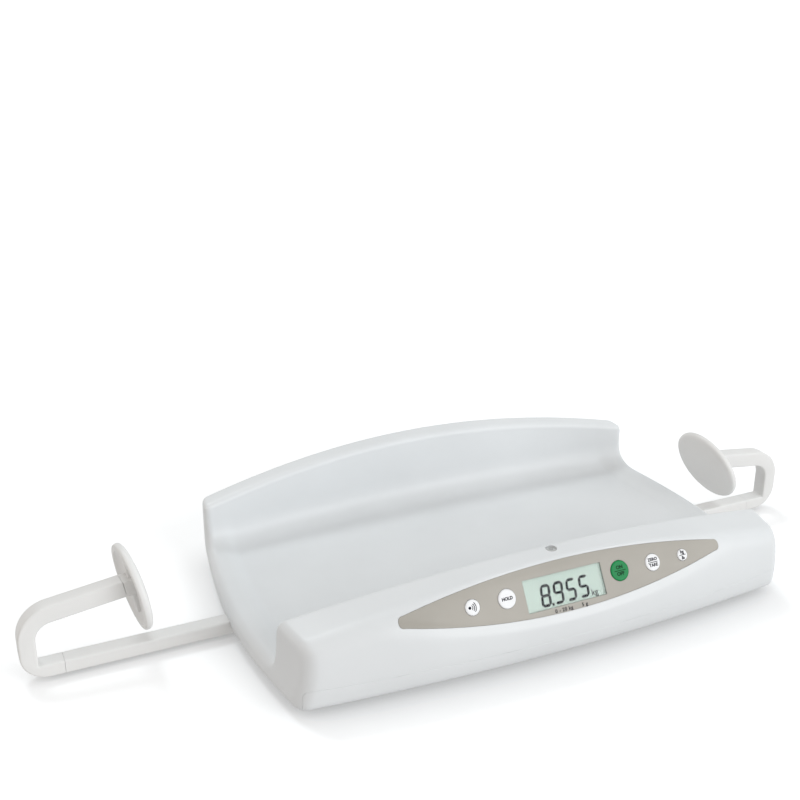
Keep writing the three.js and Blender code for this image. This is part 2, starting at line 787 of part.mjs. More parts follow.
function makePanel() {
  let fascia = facetPrism(lensOutline(0), -panel.thickness, 0);
  const opening = roundedRectangle(screen.width, screen.height, seatGap, screen.x, screen.v);
  fascia = fascia.subtract(facetPrism(opening, -wall, overrun, 2));
  for (const { x, radius } of buttons) {
    fascia = fascia.subtract(facetPost(x, 0, radius + runGap, -wall, overrun));
  }
  addPiece(panelFrame, 'control_panel', fascia, finish.panel);
}

function makeScreen() {
  const glass = roundedRectangle(
    screen.width - 2 * seatGap,
    screen.height - 2 * seatGap,
    seatGap,
    screen.x,
    screen.v,
  );
  const window = facetPrism(glass, -screen.windowThickness - seatGap, -seatGap, 2);
  addPiece(panelFrame, 'display_window', window, finish.window);
  const frameTop = wall + seatGap;
  const margin = 2 * screen.frameMargin;
  const frame = roundedRectangle(
    screen.width + margin,
    screen.height + margin,
    screen.bezelDepth,
    screen.x,
    screen.v,
  );
  const module = facetPrism(frame, -frameTop - screen.thickness, -frameTop, 2);
  addPiece(panelFrame, 'display_module', module, finish.screen);
}

function makeBoard() {
  const outline = roundedRectangle(board.width, board.height, board.bossInset / 2, board.x, board.v);
  let plate = facetPrism(outline, -boardTop - board.thickness, -boardTop, 1);
  for (const [x, v] of boardBosses) {
    plate = plate.subtract(facetPost(x, v, board.bossRadius / 3, -boardTop * 2, 0, smallSteps));
  }
  addPiece(panelFrame, 'main_board', plate, finish.board);
  for (const { name, x } of buttons) {
    const half = pressSwitch.size / 2;
    const housing = boxBetween([x - half, -half, -boardTop + seatGap], [x + half, half, -switchTop]);
    const plunger = facetPost(x, 0, pressSwitch.plungerRadius, -switchTop - seatGap, -plungerTop, smallSteps);
    addPiece(panelFrame, name.replace('button', 'switch'), housing.add(plunger), finish.dark);
  }
  const sounderTop = boardTop + board.thickness + seatGap;
  const disc = facetPost(sounder.x, 0, sounder.radius, -sounderTop - sounder.thickness, -sounderTop);
  const soundHole = facetPost(
    sounder.x,
    0,
    sounder.soundHoleRadius,
    -sounderTop - sounder.thickness - overrun,
    -sounderTop - sounder.thickness / 2,
    smallSteps,
  );
  addPiece(panelFrame, 'sounder', disc.subtract(soundHole), finish.dark);
}

/** One push button: a domed cap, a retaining flange under the shell and a stem. */
function makeButton({ name, x, radius, color }) {
  const edge = button.rise - button.dome;
  const profile = [
    point(0, -stemLow),
    point(button.stemRadius, -stemLow),
    point(button.stemRadius, -flangeLow),
    point(radius + button.flange, -flangeLow),
    point(radius + button.flange, -flangeTop),
    point(radius, -flangeTop),
    ...turn(point(radius, edge), point(radius, button.rise), point(radius - button.dome * 3, button.rise), 2),
    point(0, button.rise),
  ];
  const cap = new THREE.LatheGeometry(profile, roundSteps);
  cap.rotateX(Math.PI / 2);
  cap.translate(x, 0, 0);
  addPiece(panelFrame, name, cap, { color, roughness: 0.35, metalness: 0 });
}

function makeLevel() {
  const glassRadius = level.rimRadius - level.rimThickness;
  const profile = [
    point(0, -level.cupDepth),
    point(level.cupRadius, -level.cupDepth),
    point(level.cupRadius, -level.rimThickness),
    point(level.rimRadius, -level.rimThickness),
    point(level.rimRadius, 0),
    point(glassRadius, 0),
    point(glassRadius, -level.rimThickness / 2),
    point(0, -level.rimThickness / 3),
  ];
  const vial = new THREE.LatheGeometry(profile, roundSteps);
  vial.rotateX(Math.PI / 2);
  const mesh = addPiece(scale, 'level_vial', vial, finish.level);
  mesh.position.set(level.x, levelY, levelTopZ);
}

/**
 * The U-shaped end of a rod, with its arm rising towards the paddle. It is drawn smaller
 * by the rounding of its edges, which the extrusion adds again.
 */
function handleSolid(reach, armEndX) {
  const bevel = rod.edgeRadius;
  const slope = Math.tan(handle.armSlope);
  const alongSlope = Math.cos(handle.armSlope);
  const seamX = reach - rod.seamInset;
  const pastSeamX = seamX - overrun;
  const pastArmX = armEndX - handle.armHeight;
  const outerX = reach - bevel;
  const innerX = reach - handle.post + bevel;
  const topAt = (x) => handle.armTopZ + slope * (reach - x) - bevel / alongSlope;
  const lowAt = (x) => handle.armTopZ + slope * (reach - x) - (handle.armHeight - bevel) / alongSlope;
  const corners = [
    { x: pastSeamX, y: rod.bottomZ + bevel, radius: bevel / 4 },
    { x: outerX, y: rod.bottomZ + bevel, radius: handle.lowerRadius - bevel },
    { x: outerX, y: topAt(outerX), radius: handle.upperRadius - bevel },
    { x: pastArmX, y: topAt(pastArmX), radius: bevel / 4 },
    { x: pastArmX, y: lowAt(pastArmX), radius: bevel / 4 },
    { x: innerX, y: lowAt(innerX), radius: handle.innerRadius + bevel },
    { x: innerX, y: barTopZ - bevel, radius: handle.innerCorner + bevel },
    { x: pastSeamX, y: barTopZ - bevel, radius: bevel / 4 },
  ];
  const geometry = new THREE.ExtrudeGeometry(roundedOutline(corners), {
    depth: rod.width - 2 * bevel,
    bevelEnabled: true,
    bevelThickness: bevel,
    bevelSize: bevel,
    bevelSegments: 2,
    curveSegments: 4,
  });
  geometry.rotateX(Math.PI / 2);
  geometry.translate(0, rod.width / 2 - bevel, 0);
  const pastSeam = boxBetween(
    [seamX - rod.barLength, -rod.width, -overrun],
    [seamX + seatGap / 2, rod.width, barTopZ + overrun],
  );
  return solidOf(geometry).subtract(pastSeam);
}

/** The rounded section of a bar, drawn in by inset. */
function barSection(inset) {
  return roundedRectangle(
    rod.width - 2 * inset,
    rod.height - 2 * inset,
    rod.edgeRadius,
    0,
    rod.bottomZ + rod.height / 2,
  );
}

/** A round bar across a knuckle, from side to side. */
function crossPost(radius, halfSpan) {
  const geometry = new THREE.CylinderGeometry(radius, radius, 2 * halfSpan, roundSteps);
  geometry.rotateZ(Math.PI / 2);
  return solidOf(geometry);
}

/**
 * The round plate that touches head or feet, drawn round its pivot with the plate towards
 * +Z: domed in front, dished behind, with a rib down its back and a knuckle as wide and as
 * high as the arm. The knuckle is round below, so that the plate can lean.
 */
function paddleSolid() {
  const rim = paddle.rimThickness / 2;
  const middleZ = paddle.pivotDepth;
  const backZ = middleZ - rim;
  const dishZ = backZ + paddle.dish;
  const frontZ = middleZ + rim;
  const profile = [
    point(0, dishZ),
    ...turn(
      point(paddle.dishRadius / 2, dishZ),
      point(paddle.dishRadius - rim, dishZ),
      point(paddle.dishRadius, backZ),
      2,
    ),
    ...turn(
      point(paddle.radius - rim / 2, backZ),
      point(paddle.radius, backZ),
      point(paddle.radius, middleZ),
      2,
    ),
    ...turn(
      point(paddle.radius, middleZ),
      point(paddle.radius, frontZ),
      point(paddle.radius - 2 * rim, frontZ + paddle.dome / 4),
      2,
    ).slice(1),
    point(paddle.radius / 2, frontZ + paddle.dome * paddle.domeShare),
    point(0, frontZ + paddle.dome),
  ];
  const disc = new THREE.LatheGeometry(profile, paddleSteps);
  disc.rotateX(Math.PI / 2);
  const ribShape = roundedRectangle(paddle.ribWidth, paddle.ribLength, paddle.ribWidth / 2);
  const rib = facetPrism(ribShape, dishZ - paddle.ribThickness, frontZ, 4);
  const halfWidth = rod.width / 2;
  const upperBlock = boxBetween([-halfWidth, 0, -knuckle.radius], [halfWidth, knuckle.topRise, frontZ]);
  const lowerBlock = boxBetween([-halfWidth, -knuckle.radius, 0], [halfWidth, knuckle.radius, frontZ]);
  const slotHalf = knuckle.tongueWidth / 2 + runGap;
  const slotRadius = knuckle.radius + runGap;
  const slot = boxBetween([-slotHalf, -slotRadius, -slotRadius - overrun], [slotHalf, slotRadius, 0])
    .add(crossPost(slotRadius, slotHalf));
  return joined([solidOf(disc), rib, upperBlock, lowerBlock, crossPost(knuckle.radius, halfWidth)])
    .subtract(slot)
    .subtract(crossPost(knuckle.pinRadius + seatGap, halfWidth - knuckle.skin + seatGap));
}

/** The tongue at the arm's end that the knuckle closes round, drawn round the pivot. */
function tongueSolid() {
  const half = knuckle.tongueWidth / 2;
  const neck = boxBetween(
    [-half, -knuckle.radius, -knuckle.radius - overrun],
    [half, knuckle.radius, 0],
  );
  return neck.add(crossPost(knuckle.radius, half));
}

/** One measuring rod, drawn with its outer end towards +X and turned to its side. */
function makeRod({ name, side, reach, pivotReach, lean }) {
  const rodFrame = new THREE.Group();
  rodFrame.position.set(0, rod.y, 0);
  rodFrame.rotation.z = side > 0 ? 0 : Math.PI;
  scale.add(rodFrame);

  const seamX = reach - rod.seamInset;
  const innerX = seamX - rod.barLength;
  const pivotX = reach - pivotReach;

  const spigot = barSection(rod.spigotInset);
  const socket = barSection(rod.spigotInset - seatGap);
  const stop = boxBetween(
    [innerX, -rod.width / 2 + 2 * rod.edgeRadius, barTopZ - rod.edgeRadius],
    [innerX + rod.stopLength, rod.width / 2 - 2 * rod.edgeRadius, barTopZ + rod.stopRise],
  );
  const bar = joined([
    extrudeAlongX(barSection(0), innerX, seamX - seatGap / 2),
    extrudeAlongX(spigot, seamX - overrun, seamX + rod.spigotLength),
    stop,
  ]);
  addPiece(rodFrame, `${name}_bar`, bar, finish.rodShell);

  // Places what is drawn round the pivot, leaning back by an angle
  const atPivot = (solid, angle) => solid.transform(
    new THREE.Matrix4()
      .makeTranslation(pivotX, 0, paddle.pivotZ)
      .multiply(new THREE.Matrix4().makeRotationZ(paddle.turn))
      .multiply(new THREE.Matrix4().makeRotationY(angle - Math.PI / 2))
      .multiply(new THREE.Matrix4().makeRotationZ(-Math.PI / 2)).elements,
  );
  const beyondEnd = boxBetween(
    [-paddle.radius, -paddle.radius, -knuckle.radius - seatGap],
    [paddle.radius, paddle.radius, 2 * paddle.radius],
  );
  const pinSpan = rod.width / 2 - knuckle.skin;
  const grip = handleSolid(reach, pivotX)
    .subtract(atPivot(beyondEnd, paddle.stopLean))
    .add(atPivot(tongueSolid(), paddle.stopLean))
    .subtract(atPivot(crossPost(knuckle.pinRadius + seatGap, pinSpan), paddle.stopLean))
    .subtract(extrudeAlongX(socket, seamX - overrun, seamX + rod.spigotLength + seatGap));
  addPiece(rodFrame, `${name}_handle`, grip, finish.rodShell);
  const pin = atPivot(crossPost(knuckle.pinRadius, pinSpan), paddle.stopLean);
  addPiece(rodFrame, `${name}_paddle_pin`, pin, finish.steel);
  addPiece(rodFrame, `${name}_paddle`, atPivot(paddleSolid(), lean), finish.rodShell);
}

/** The straps that hold the bars up in their channel, two for each rod. */
function makeStraps() {
  const lowZ = rod.bottomZ - runGap - strap.thickness;
  const halfInner = channelHalfWidth + seatGap;
  const halfOuter = halfInner + strap.thickness;
  const flangeLowZ = body.bottomZ - seatGap - strap.thickness;
  const hat = new THREE.Shape();
  hat.moveTo(-halfOuter - strap.flange, flangeLowZ);
  hat.lineTo(-halfOuter, flangeLowZ);
  hat.lineTo(-halfOuter, lowZ);
  hat.lineTo(halfOuter, lowZ);
  hat.lineTo(halfOuter, flangeLowZ);
  hat.lineTo(halfOuter + strap.flange, flangeLowZ);
  hat.lineTo(halfOuter + strap.flange, flangeLowZ + strap.thickness);
  hat.lineTo(halfInner, flangeLowZ + strap.thickness);
  hat.lineTo(halfInner, lowZ + strap.thickness);
  hat.lineTo(-halfInner, lowZ + strap.thickness);
  hat.lineTo(-halfInner, flangeLowZ + strap.thickness);
  hat.lineTo(-halfOuter - strap.flange, flangeLowZ + strap.thickness);
  const outerX = skirtReach - strap.inset;
  const places = [
    { name: 'guide_strap_foot_outer', x: -outerX },
    { name: 'guide_strap_foot_inner', x: -outerX + strap.spacing },
    { name: 'guide_strap_head_inner', x: outerX - strap.spacing },
    { name: 'guide_strap_head_outer', x: outerX },
  ];
  for (const { name, x } of places) {
    const piece = extrudeAlongX(hat, x - strap.length / 2, x + strap.length / 2).translate([0, rod.y, 0]);
    addPiece(scale, name, piece, finish.shell);
  }
}

/** A load cell: a steel plate whose tongue bends when the foot pushes it up. */
function loadCellSolid() {
  const shape = roundedRectangle(loadCell.size, loadCell.size, loadCell.corner);
  const outer = loadCell.size / 2 - loadCell.frame;
  const inner = outer - loadCell.slot;
  const slot = new THREE.Path();
  slot.moveTo(-outer, outer);
  slot.lineTo(-outer, -outer);
  slot.lineTo(outer, -outer);
  slot.lineTo(outer, outer);
  slot.lineTo(inner, outer);
  slot.lineTo(inner, -inner);
  slot.lineTo(-inner, -inner);
  slot.lineTo(-inner, outer);
  shape.holes.push(slot);
  return facetPrism(shape, 0, loadCell.thickness, 1);
}

function makeFeet() {
  const cellLowZ = floorTopZ + 2 * seatGap;
  const cell = loadCellSolid();
  const cupLowZ = foot.padHeight - foot.padRecess + seatGap;
  const cupHighZ = cupLowZ + foot.cupHeight;
  for (const { name, x, y } of feet) {
    const pad = roundPost(x, y, foot.padRadius, 0, foot.padHeight);
    addPiece(scale, `foot_pad_${name}`, pad, finish.rubber);
    const cup = roundPost(x, y, foot.cupRadius, cupLowZ, cupHighZ)
      .add(roundPost(x, y, foot.stubRadius, cupLowZ + foot.cupHeight / 2, cellLowZ - seatGap, smallSteps))
      .subtract(roundPost(x, y, foot.padRadius + seatGap, 0, foot.padHeight + seatGap));
    addPiece(scale, `foot_cup_${name}`, cup, finish.dark);
    addPiece(scale, `load_cell_${name}`, cell.translate([x, y, cellLowZ]), finish.steel);
  }
}

function makeBatteries() {
  const { high } = bayCorners();
  const axisZ = high[2] - bay.roofGap - battery.radius;
  const start = -((battery.count - 1) * battery.pitch) / 2;
  for (let i = 0; i < battery.count; i += 1) {
    const turned = i % 2 === 0 ? 1 : -1;
    const cellBody = battery.length - battery.nippleLength;
    const profile = [
      point(0, -battery.length / 2),
      point(battery.radius, -battery.length / 2),
      point(battery.radius, -battery.length / 2 + cellBody),
      point(battery.nippleRadius, -battery.length / 2 + cellBody),
      point(battery.nippleRadius, battery.length / 2),
      point(0, battery.length / 2),
    ];
    const cell = new THREE.LatheGeometry(profile, hiddenSteps);
    if (turned < 0) {
      cell.rotateX(Math.PI);
    }
    const mesh = addPiece(scale, `battery_${i + 1}`, cell, finish.cell);
    mesh.position.set(start + i * battery.pitch, bay.y, axisZ);
  }
  const contactGap = bay.contactSpace - seatGap - contact.thickness;
  for (const side of [-1, 1]) {
    const outer = bay.y + side * (battery.length / 2 + bay.contactSpace - seatGap);
    const inner = outer - side * contact.thickness;
    const ends = [outer, inner].sort((a, b) => a - b);
    const halfX = (battery.count * battery.pitch) / 2;
    const strip = boxBetween(
      [-halfX, ends[0], axisZ - contact.height / 2],
      [halfX, ends[1], axisZ + contact.height / 2],
    );
    const bumpLength = contactGap - seatGap + contact.thickness / 2;
    const bumpY = inner - (side * (bumpLength - contact.thickness)) / 2;
    const bumps = [];
    for (let i = 0; i < battery.count; i += 1) {
      const bump = new THREE.CylinderGeometry(contact.bumpRadius / 2, contact.bumpRadius, bumpLength, smallSteps);
      bump.rotateX(side > 0 ? Math.PI : 0);
      bump.translate(start + i * battery.pitch, bumpY, axisZ);
      bumps.push(solidOf(bump));
    }
    addPiece(scale, `battery_contact_${side < 0 ? 'front' : 'rear'}`, joined([strip, ...bumps]), finish.steel);
  }
}

/** The battery door: a plate with two hinge lugs, a latch tongue and a finger hollow. */
function makeDoor() {
  const { low, high } = bayCorners();
  const lowZ = body.bottomZ;
  const plateTop = lowZ + door.thickness;
  const plate = boxBetween(
    [low[0] + seatGap, low[1] + seatGap, lowZ],
    [high[0] - seatGap, high[1] - seatGap, plateTop],
  );
  const lugs = [-1, 1].map((side) => {
    const x = doorLugX(side);
    const half = door.lugWidth / 2;
    const lugLow = floorTopZ + seatGap;
    const neck = boxBetween(
      [x - half, high[1] - seatGap - door.lugThickness, plateTop - seatGap],
      [x + half, high[1] - seatGap, lugLow + door.lugThickness],
    );
    const lug = boxBetween(
      [x - half, high[1] - seatGap - door.lugThickness, lugLow],
      [x + half, high[1] + door.lugReach, lugLow + door.lugThickness],
    );
    return neck.add(lug);
  });
  const latch = boxBetween(
    [-door.latchWidth / 2, low[1] - door.latchReach, lowZ],
    [door.latchWidth / 2, low[1] + door.latchReach, plateTop],
  );
  const hollowMark = roundPost(0, low[1] + door.gripRadius * 2, door.gripRadius, 0, lowZ + door.gripDepth);
  addPiece(scale, 'battery_door', joined([plate, ...lugs, latch]).subtract(hollowMark), finish.shell);
}

function makeScrews() {
  const headLowZ = body.bottomZ + screw.recess;
  for (const { name, x, y } of screwSpots) {
    const profile = [
      point(0, headLowZ),
      point(screw.headRadius - screw.recess, headLowZ),
      point(screw.headRadius, underHeadZ),
      point(screw.shankRadius, underHeadZ),
      point(screw.shankRadius, screwTipZ),
      point(0, screwTipZ),
    ];
    const turned = new THREE.LatheGeometry(profile, smallSteps);
    turned.rotateX(Math.PI / 2);
    turned.translate(x, y, 0);
    addPiece(scale, `case_screw_${name}`, turned, finish.steel);
  }
}

makeTray();
makeBase();
makePanel();
makeScreen();
makeBoard();
buttons.forEach(makeButton);
makeLevel();
rods.forEach(makeRod);
makeStraps();
makeFeet();
makeBatteries();
makeDoor();
makeScrews();

// The middle of the whole, seen from above, stands over the origin
const overall = new THREE.Box3().setFromObject(scale, true).getCenter(new THREE.Vector3());
scale.position.set(-overall.x, -overall.y, 0);

export default scale;
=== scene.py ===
# %% [markdown]
# # A digital weighing scale for babies
# The scale is a moulded tray with a lying trough, a lens-shaped panel with five keys and a
# screen, and two sliding rods that measure how long a baby is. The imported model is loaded
# first and stays as it is. The pieces that show are then made again with finer curves,
# each on the body that it moves with.

import json
import math

import bmesh
import bpy
from mathutils import Matrix, Vector


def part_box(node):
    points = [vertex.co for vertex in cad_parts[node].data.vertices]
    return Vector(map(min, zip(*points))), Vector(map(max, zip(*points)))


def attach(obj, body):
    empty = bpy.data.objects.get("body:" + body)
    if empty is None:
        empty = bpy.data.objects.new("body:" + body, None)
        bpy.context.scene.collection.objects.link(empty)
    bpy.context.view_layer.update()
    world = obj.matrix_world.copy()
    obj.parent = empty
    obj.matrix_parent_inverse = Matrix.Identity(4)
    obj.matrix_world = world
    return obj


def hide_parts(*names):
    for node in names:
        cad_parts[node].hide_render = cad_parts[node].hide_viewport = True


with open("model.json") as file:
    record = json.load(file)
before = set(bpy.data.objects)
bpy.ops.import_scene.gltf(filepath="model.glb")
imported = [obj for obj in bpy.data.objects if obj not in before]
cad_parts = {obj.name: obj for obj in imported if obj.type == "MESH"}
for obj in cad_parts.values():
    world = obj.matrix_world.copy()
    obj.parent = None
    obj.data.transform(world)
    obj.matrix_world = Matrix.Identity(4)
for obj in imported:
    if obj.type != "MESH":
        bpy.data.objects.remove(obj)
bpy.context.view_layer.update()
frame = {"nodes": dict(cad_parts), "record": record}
print("nodes:", len(frame["nodes"]))

# %% [markdown]
# ## Where the pieces go
# All sizes below are millimetres, measured from the middle of the tray. The model has its
# origin under the middle of its whole footprint, so one matrix carries a piece there and
# turns it into metres. Its shift is read from two pieces of the model: the battery door,
# which lies on the middle line, and the foot-end bar, whose middle is at `rod_y`.

# %% The matrix from tray millimetres to the model's metres
rod_y = -12.4
door_low, door_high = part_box("battery_door")
bar_low, bar_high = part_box("foot_bar")
home_x = (door_low[0] + door_high[0]) / 2
home_y = (bar_low[1] + bar_high[1]) / 2 - rod_y / 1000
to_model = Matrix.Translation((home_x, home_y, 0)) @ Matrix.Scale(0.001, 4)
print("the tray's middle is at", round(home_x, 5), round(home_y, 5))

# %% [markdown]
# ## Camera
# The camera stands in front of the scale, towards its foot end and well above the tray, and
# looks down on it with a normal lens. It comes first, so that every piece can be judged from
# the right place while it is made.

# %% The camera


def link(thing):
    """Puts an object in the scene and gives it back."""
    bpy.context.scene.collection.objects.link(thing)
    return thing


camera_data = bpy.data.cameras.new("camera")
camera_data.lens = 51.58
camera_data.sensor_width = 36
camera_data.clip_end = 200
camera = link(bpy.data.objects.new("camera", camera_data))
looking = Vector((0.3815, 0.8449, -0.3746))
camera.location = (-0.5122, -1.0025, 0.6808)
camera.rotation_euler = looking.to_track_quat("-Z", "Y").to_euler()
bpy.context.scene.camera = camera
bpy.context.scene.view_settings.view_transform = "Standard"
print("the camera looks along", tuple(round(part, 3) for part in looking))

# %% [markdown]
# ## Shader nodes
# The world, the finishes and the floor are small graphs of shader nodes. Two functions build
# them, so that one line names a node's kind, what goes into it and its settings. An input
# takes a value, or the output of an earlier node.

# %% Adding and wiring a node


def feed(tree, node, inputs):
    """Gives each named input its value, or links it to the output that feeds it."""
    for name, value in inputs.items():
        if isinstance(value, bpy.types.NodeSocket):
            tree.links.new(value, node.inputs[name])
        else:
            node.inputs[name].default_value = value


def add_node(tree, kind, inputs, **settings):
    """A new node, with its settings made before its inputs are fed."""
    node = tree.nodes.new("ShaderNode" + kind)
    for name, value in settings.items():
        setattr(node, name, value)
    feed(tree, node, inputs)
    return node


print("node tools are ready")

# %% [markdown]
# ## Light
# A white product on a white ground needs light that is soft and a little one-sided, or its
# faces run together. The world gives even light from all around, and shows itself white to
# the camera, in gloss and through the window. Five suns with a wide angle act as large soft
# boxes far away, so the ground is lit evenly too. The strongest stands low in front, towards
# the head end. A cool one from above and behind draws the shadows forwards. A warm, weaker
# one lights the foot end and a faint one the head end. The fifth shines up from below, as a
# white ground throws light back under the front rail.

# %% The world
world = bpy.data.worlds.new("studio")
bpy.context.scene.world = world
world.use_nodes = True
tree = world.node_tree
tree.nodes.clear()
ray = tree.nodes.new("ShaderNodeLightPath").outputs
seen = add_node(
    tree, "Math", {0: ray["Is Camera Ray"], 1: ray["Is Transmission Ray"]}, operation="MAXIMUM")
clear = add_node(tree, "Math", {0: seen.outputs[0], 1: ray["Is Glossy Ray"]}, operation="MAXIMUM")
even = add_node(tree, "Background", {"Color": (1, 0.985, 0.965, 1), "Strength": 0.53})
white = add_node(tree, "Background", {"Color": (1, 1, 1, 1), "Strength": 1})
choose = add_node(tree, "MixShader", {"Fac": clear.outputs[0], 1: even.outputs[0], 2: white.outputs[0]})
add_node(tree, "OutputWorld", {"Surface": choose.outputs[0]})
print("world:", world.name)

# %% The suns


def add_sun(name, source, strength, spread, colour):
    """A sun whose light comes from a direction, softened by its angle in degrees."""
    data = bpy.data.lights.new(name, "SUN")
    data.energy = strength
    data.angle = math.radians(spread)
    data.color = colour
    lamp = link(bpy.data.objects.new(name, data))
    lamp.rotation_euler = Vector(source).to_track_quat("Z", "Y").to_euler()


add_sun("front_light", (0.5, -0.8, 0.3), 1.5, 45, (0.97, 0.985, 1))
add_sun("back_light", (-0.1, 0.5, 0.86), 0.66, 16, (0.92, 0.975, 1))
add_sun("foot_end_light", (-0.9, -0.1, 0.3), 0.4, 60, (1, 0.84, 0.72))
add_sun("head_end_light", (0.9, -0.25, 0.45), 0.28, 50, (0.88, 0.98, 1))
add_sun("ground_light", (0.3, -0.45, -0.85), 0.32, 60, (1, 1, 1))

# %% [markdown]
# ## Finishes
# Moulded plastic is never one flat colour. Its steel mould was spark-eroded, which leaves a
# fine satin grain, the melt flowed in faint clouds, and hands polish some places more than
# others. These effects are shared by many pieces, so each is a node group that is built
# once: one gives a height for the bump, and the other two masks, for colour and roughness.

# %% Node groups for grain and clouds
grain_scale, cloud_scale = 900, 9


def new_group(name, scale_name, scale, outputs):
    """A node group with one scale: the group, its scale, its object coordinates and its end."""
    group = bpy.data.node_groups.new(name, "ShaderNodeTree")
    socket = group.interface.new_socket(scale_name, in_out="INPUT", socket_type="NodeSocketFloat")
    socket.default_value = scale
    for label in outputs:
        group.interface.new_socket(label, in_out="OUTPUT", socket_type="NodeSocketFloat")
    start = group.nodes.new("NodeGroupInput")
    where = group.nodes.new("ShaderNodeTexCoord")
    return group, start.outputs[scale_name], where.outputs["Object"], group.nodes.new("NodeGroupOutput")


def noise(tree, where, scale, detail, roughness):
    """The grey of a noise texture; its scale is a number or comes from a socket."""
    inputs = {"Vector": where, "Scale": scale, "Detail": detail, "Roughness": roughness}
    return add_node(tree, "TexNoise", inputs).outputs["Fac"]


grain, scale, where, end = new_group("mould_grain", "Grains per metre", grain_scale, ["Height"])
fine = noise(grain, where, scale, 3, 0.6)
coarse = noise(grain, where, 160, 2, 0.5)
blend = add_node(grain, "Math", {0: coarse, 1: 0.35, 2: fine}, operation="MULTIPLY_ADD")
feed(grain, end, {"Height": blend.outputs[0]})

clouds, scale, where, end = new_group("melt_clouds", "Clouds per metre", cloud_scale, ["Cloud", "Rub"])
cloud = noise(clouds, where, scale, 4, 0.55)
rub = noise(clouds, where, 38, 5, 0.65)
for label, grey, low, high in [("Cloud", cloud, 0.35, 0.7), ("Rub", rub, 0.42, 0.72)]:
    spread = add_node(clouds, "MapRange", {"Value": grey, "From Min": low, "From Max": high})
    feed(clouds, end, {label: spread.outputs["Result"]})
print("groups:", [group.name for group in bpy.data.node_groups])

# %% [markdown]
# ## One maker for all finishes
# Every finish has the same build: two close colours that the clouds mix, a roughness that
# the rubbed places lower, and a bump from the grain. So one function makes them all, and a
# finish is a line of values. Colours are written as they look in print, from 0 to 255. The
# window bends and mirrors light less than glass, or its shine would turn the figures grey.

# %% The maker of finishes
grain_depth = 0.0002
finishes = {}


def linear(rgb):
    """A printed colour, 0 to 255, as the linear colour that a shader wants."""
    parts = []
    for value in rgb:
        share = value / 255
        parts.append(share / 12.92 if share <= 0.04045 else ((share + 0.055) / 1.055) ** 2.4)
    return (*parts, 1)


def make_finish(name, light, dark, rough, rubbed, bump=0.15, grains=grain_scale, metal=0, coat=0,
                see_through=0, gleam=0.5):
    """A finish with clouded colour, rubbed roughness and a grained surface."""
    material = bpy.data.materials.new(name)
    material.use_nodes = True
    tree = material.node_tree
    masks = add_node(tree, "Group", {"Clouds per metre": cloud_scale}, node_tree=clouds).outputs
    height = add_node(tree, "Group", {"Grains per metre": grains}, node_tree=grain)
    mixed = {"Factor": masks["Cloud"], "A": linear(light), "B": linear(dark)}
    gloss = add_node(tree, "MapRange", {"Value": masks["Rub"], "To Min": rough, "To Max": rubbed})
    relief = {"Strength": bump, "Distance": grain_depth, "Height": height.outputs["Height"]}
    feed(tree, tree.nodes["Principled BSDF"], {
        "Base Color": add_node(tree, "Mix", mixed, data_type="RGBA").outputs["Result"],
        "Roughness": gloss.outputs["Result"],
        "Normal": add_node(tree, "Bump", relief).outputs["Normal"],
        "Metallic": metal,
        "Coat Weight": coat,
        "Specular IOR Level": gleam,
        "Transmission Weight": see_through,
    })
    finishes[name] = material


# %% The finishes
make_finish("shell", (226, 229, 231), (222, 225, 227), 0.42, 0.34, bump=0.12)
make_finish("rod_shell", (231, 231, 230), (226, 226, 225), 0.46, 0.38, bump=0.12)
make_finish("panel", (177, 173, 165), (168, 164, 156), 0.5, 0.42, bump=0.1, grains=1400, gleam=0.4)
make_finish("window", (252, 253, 252), (248, 250, 249), 0.04, 0.02, bump=0.01, see_through=1, gleam=0.3)
make_finish("screen", (202, 216, 208), (190, 205, 197), 0.5, 0.45, bump=0.03, gleam=0.2)
make_finish("segments", (24, 29, 34), (20, 25, 30), 0.6, 0.55, bump=0.02, gleam=0.1)
make_finish("ink", (34, 34, 46), (29, 29, 40), 0.6, 0.55, bump=0.05, gleam=0.1)
make_finish("button_white", (238, 239, 241), (233, 235, 237), 0.32, 0.26, bump=0.05)
make_finish("button_green", (14, 138, 76), (10, 130, 70), 0.4, 0.34, bump=0.05, gleam=0.2)
make_finish("green_ink", (10, 52, 30), (8, 46, 26), 0.6, 0.55, bump=0.05, gleam=0.1)
make_finish("board", (36, 92, 58), (30, 82, 50), 0.45, 0.35, bump=0.2, grains=700)
make_finish("dark", (44, 45, 47), (36, 37, 39), 0.55, 0.45)
make_finish("rubber", (62, 63, 65), (50, 51, 53), 0.9, 0.8, bump=0.5, grains=500)
make_finish("steel", (196, 198, 202), (180, 182, 187), 0.34, 0.26, metal=1, bump=0.1)
make_finish("level", (188, 190, 190), (180, 182, 182), 0.16, 0.1, bump=0.02, coat=0.4)
make_finish("cell", (136, 106, 62), (122, 94, 54), 0.35, 0.3, metal=0.3)
finishes["window"].node_tree.nodes["Principled BSDF"].inputs["IOR"].default_value = 1.2
print("finishes:", sorted(finishes))

# %% [markdown]
# ## Working with solids
# A piece is drawn as a `bmesh` in tray millimetres. `add_piece` merges doubled points, turns
# the faces outwards, carries it into the model and marks each edge that is bent by more than
# a set angle as sharp, so that round surfaces shade smoothly and real edges stay crisp.
# Holes are cut with the Boolean modifier, which is the same tool that is used by hand.

# %% Moving, rounding and reading solids
merge_distance = 0.0005
sharp_angle = math.radians(32)
hair = 0.01


def placed(solid, matrix):
    """The same solid, carried by a matrix."""
    bmesh.ops.transform(solid, matrix=matrix, verts=solid.verts)
    return solid


def shifted(solid, way):
    """The same solid, moved by a vector."""
    bmesh.ops.translate(solid, vec=way, verts=solid.verts)
    return solid


def merged(solid):
    """The same solid, with doubled points made one."""
    bmesh.ops.remove_doubles(solid, verts=solid.verts, dist=merge_distance)
    return solid


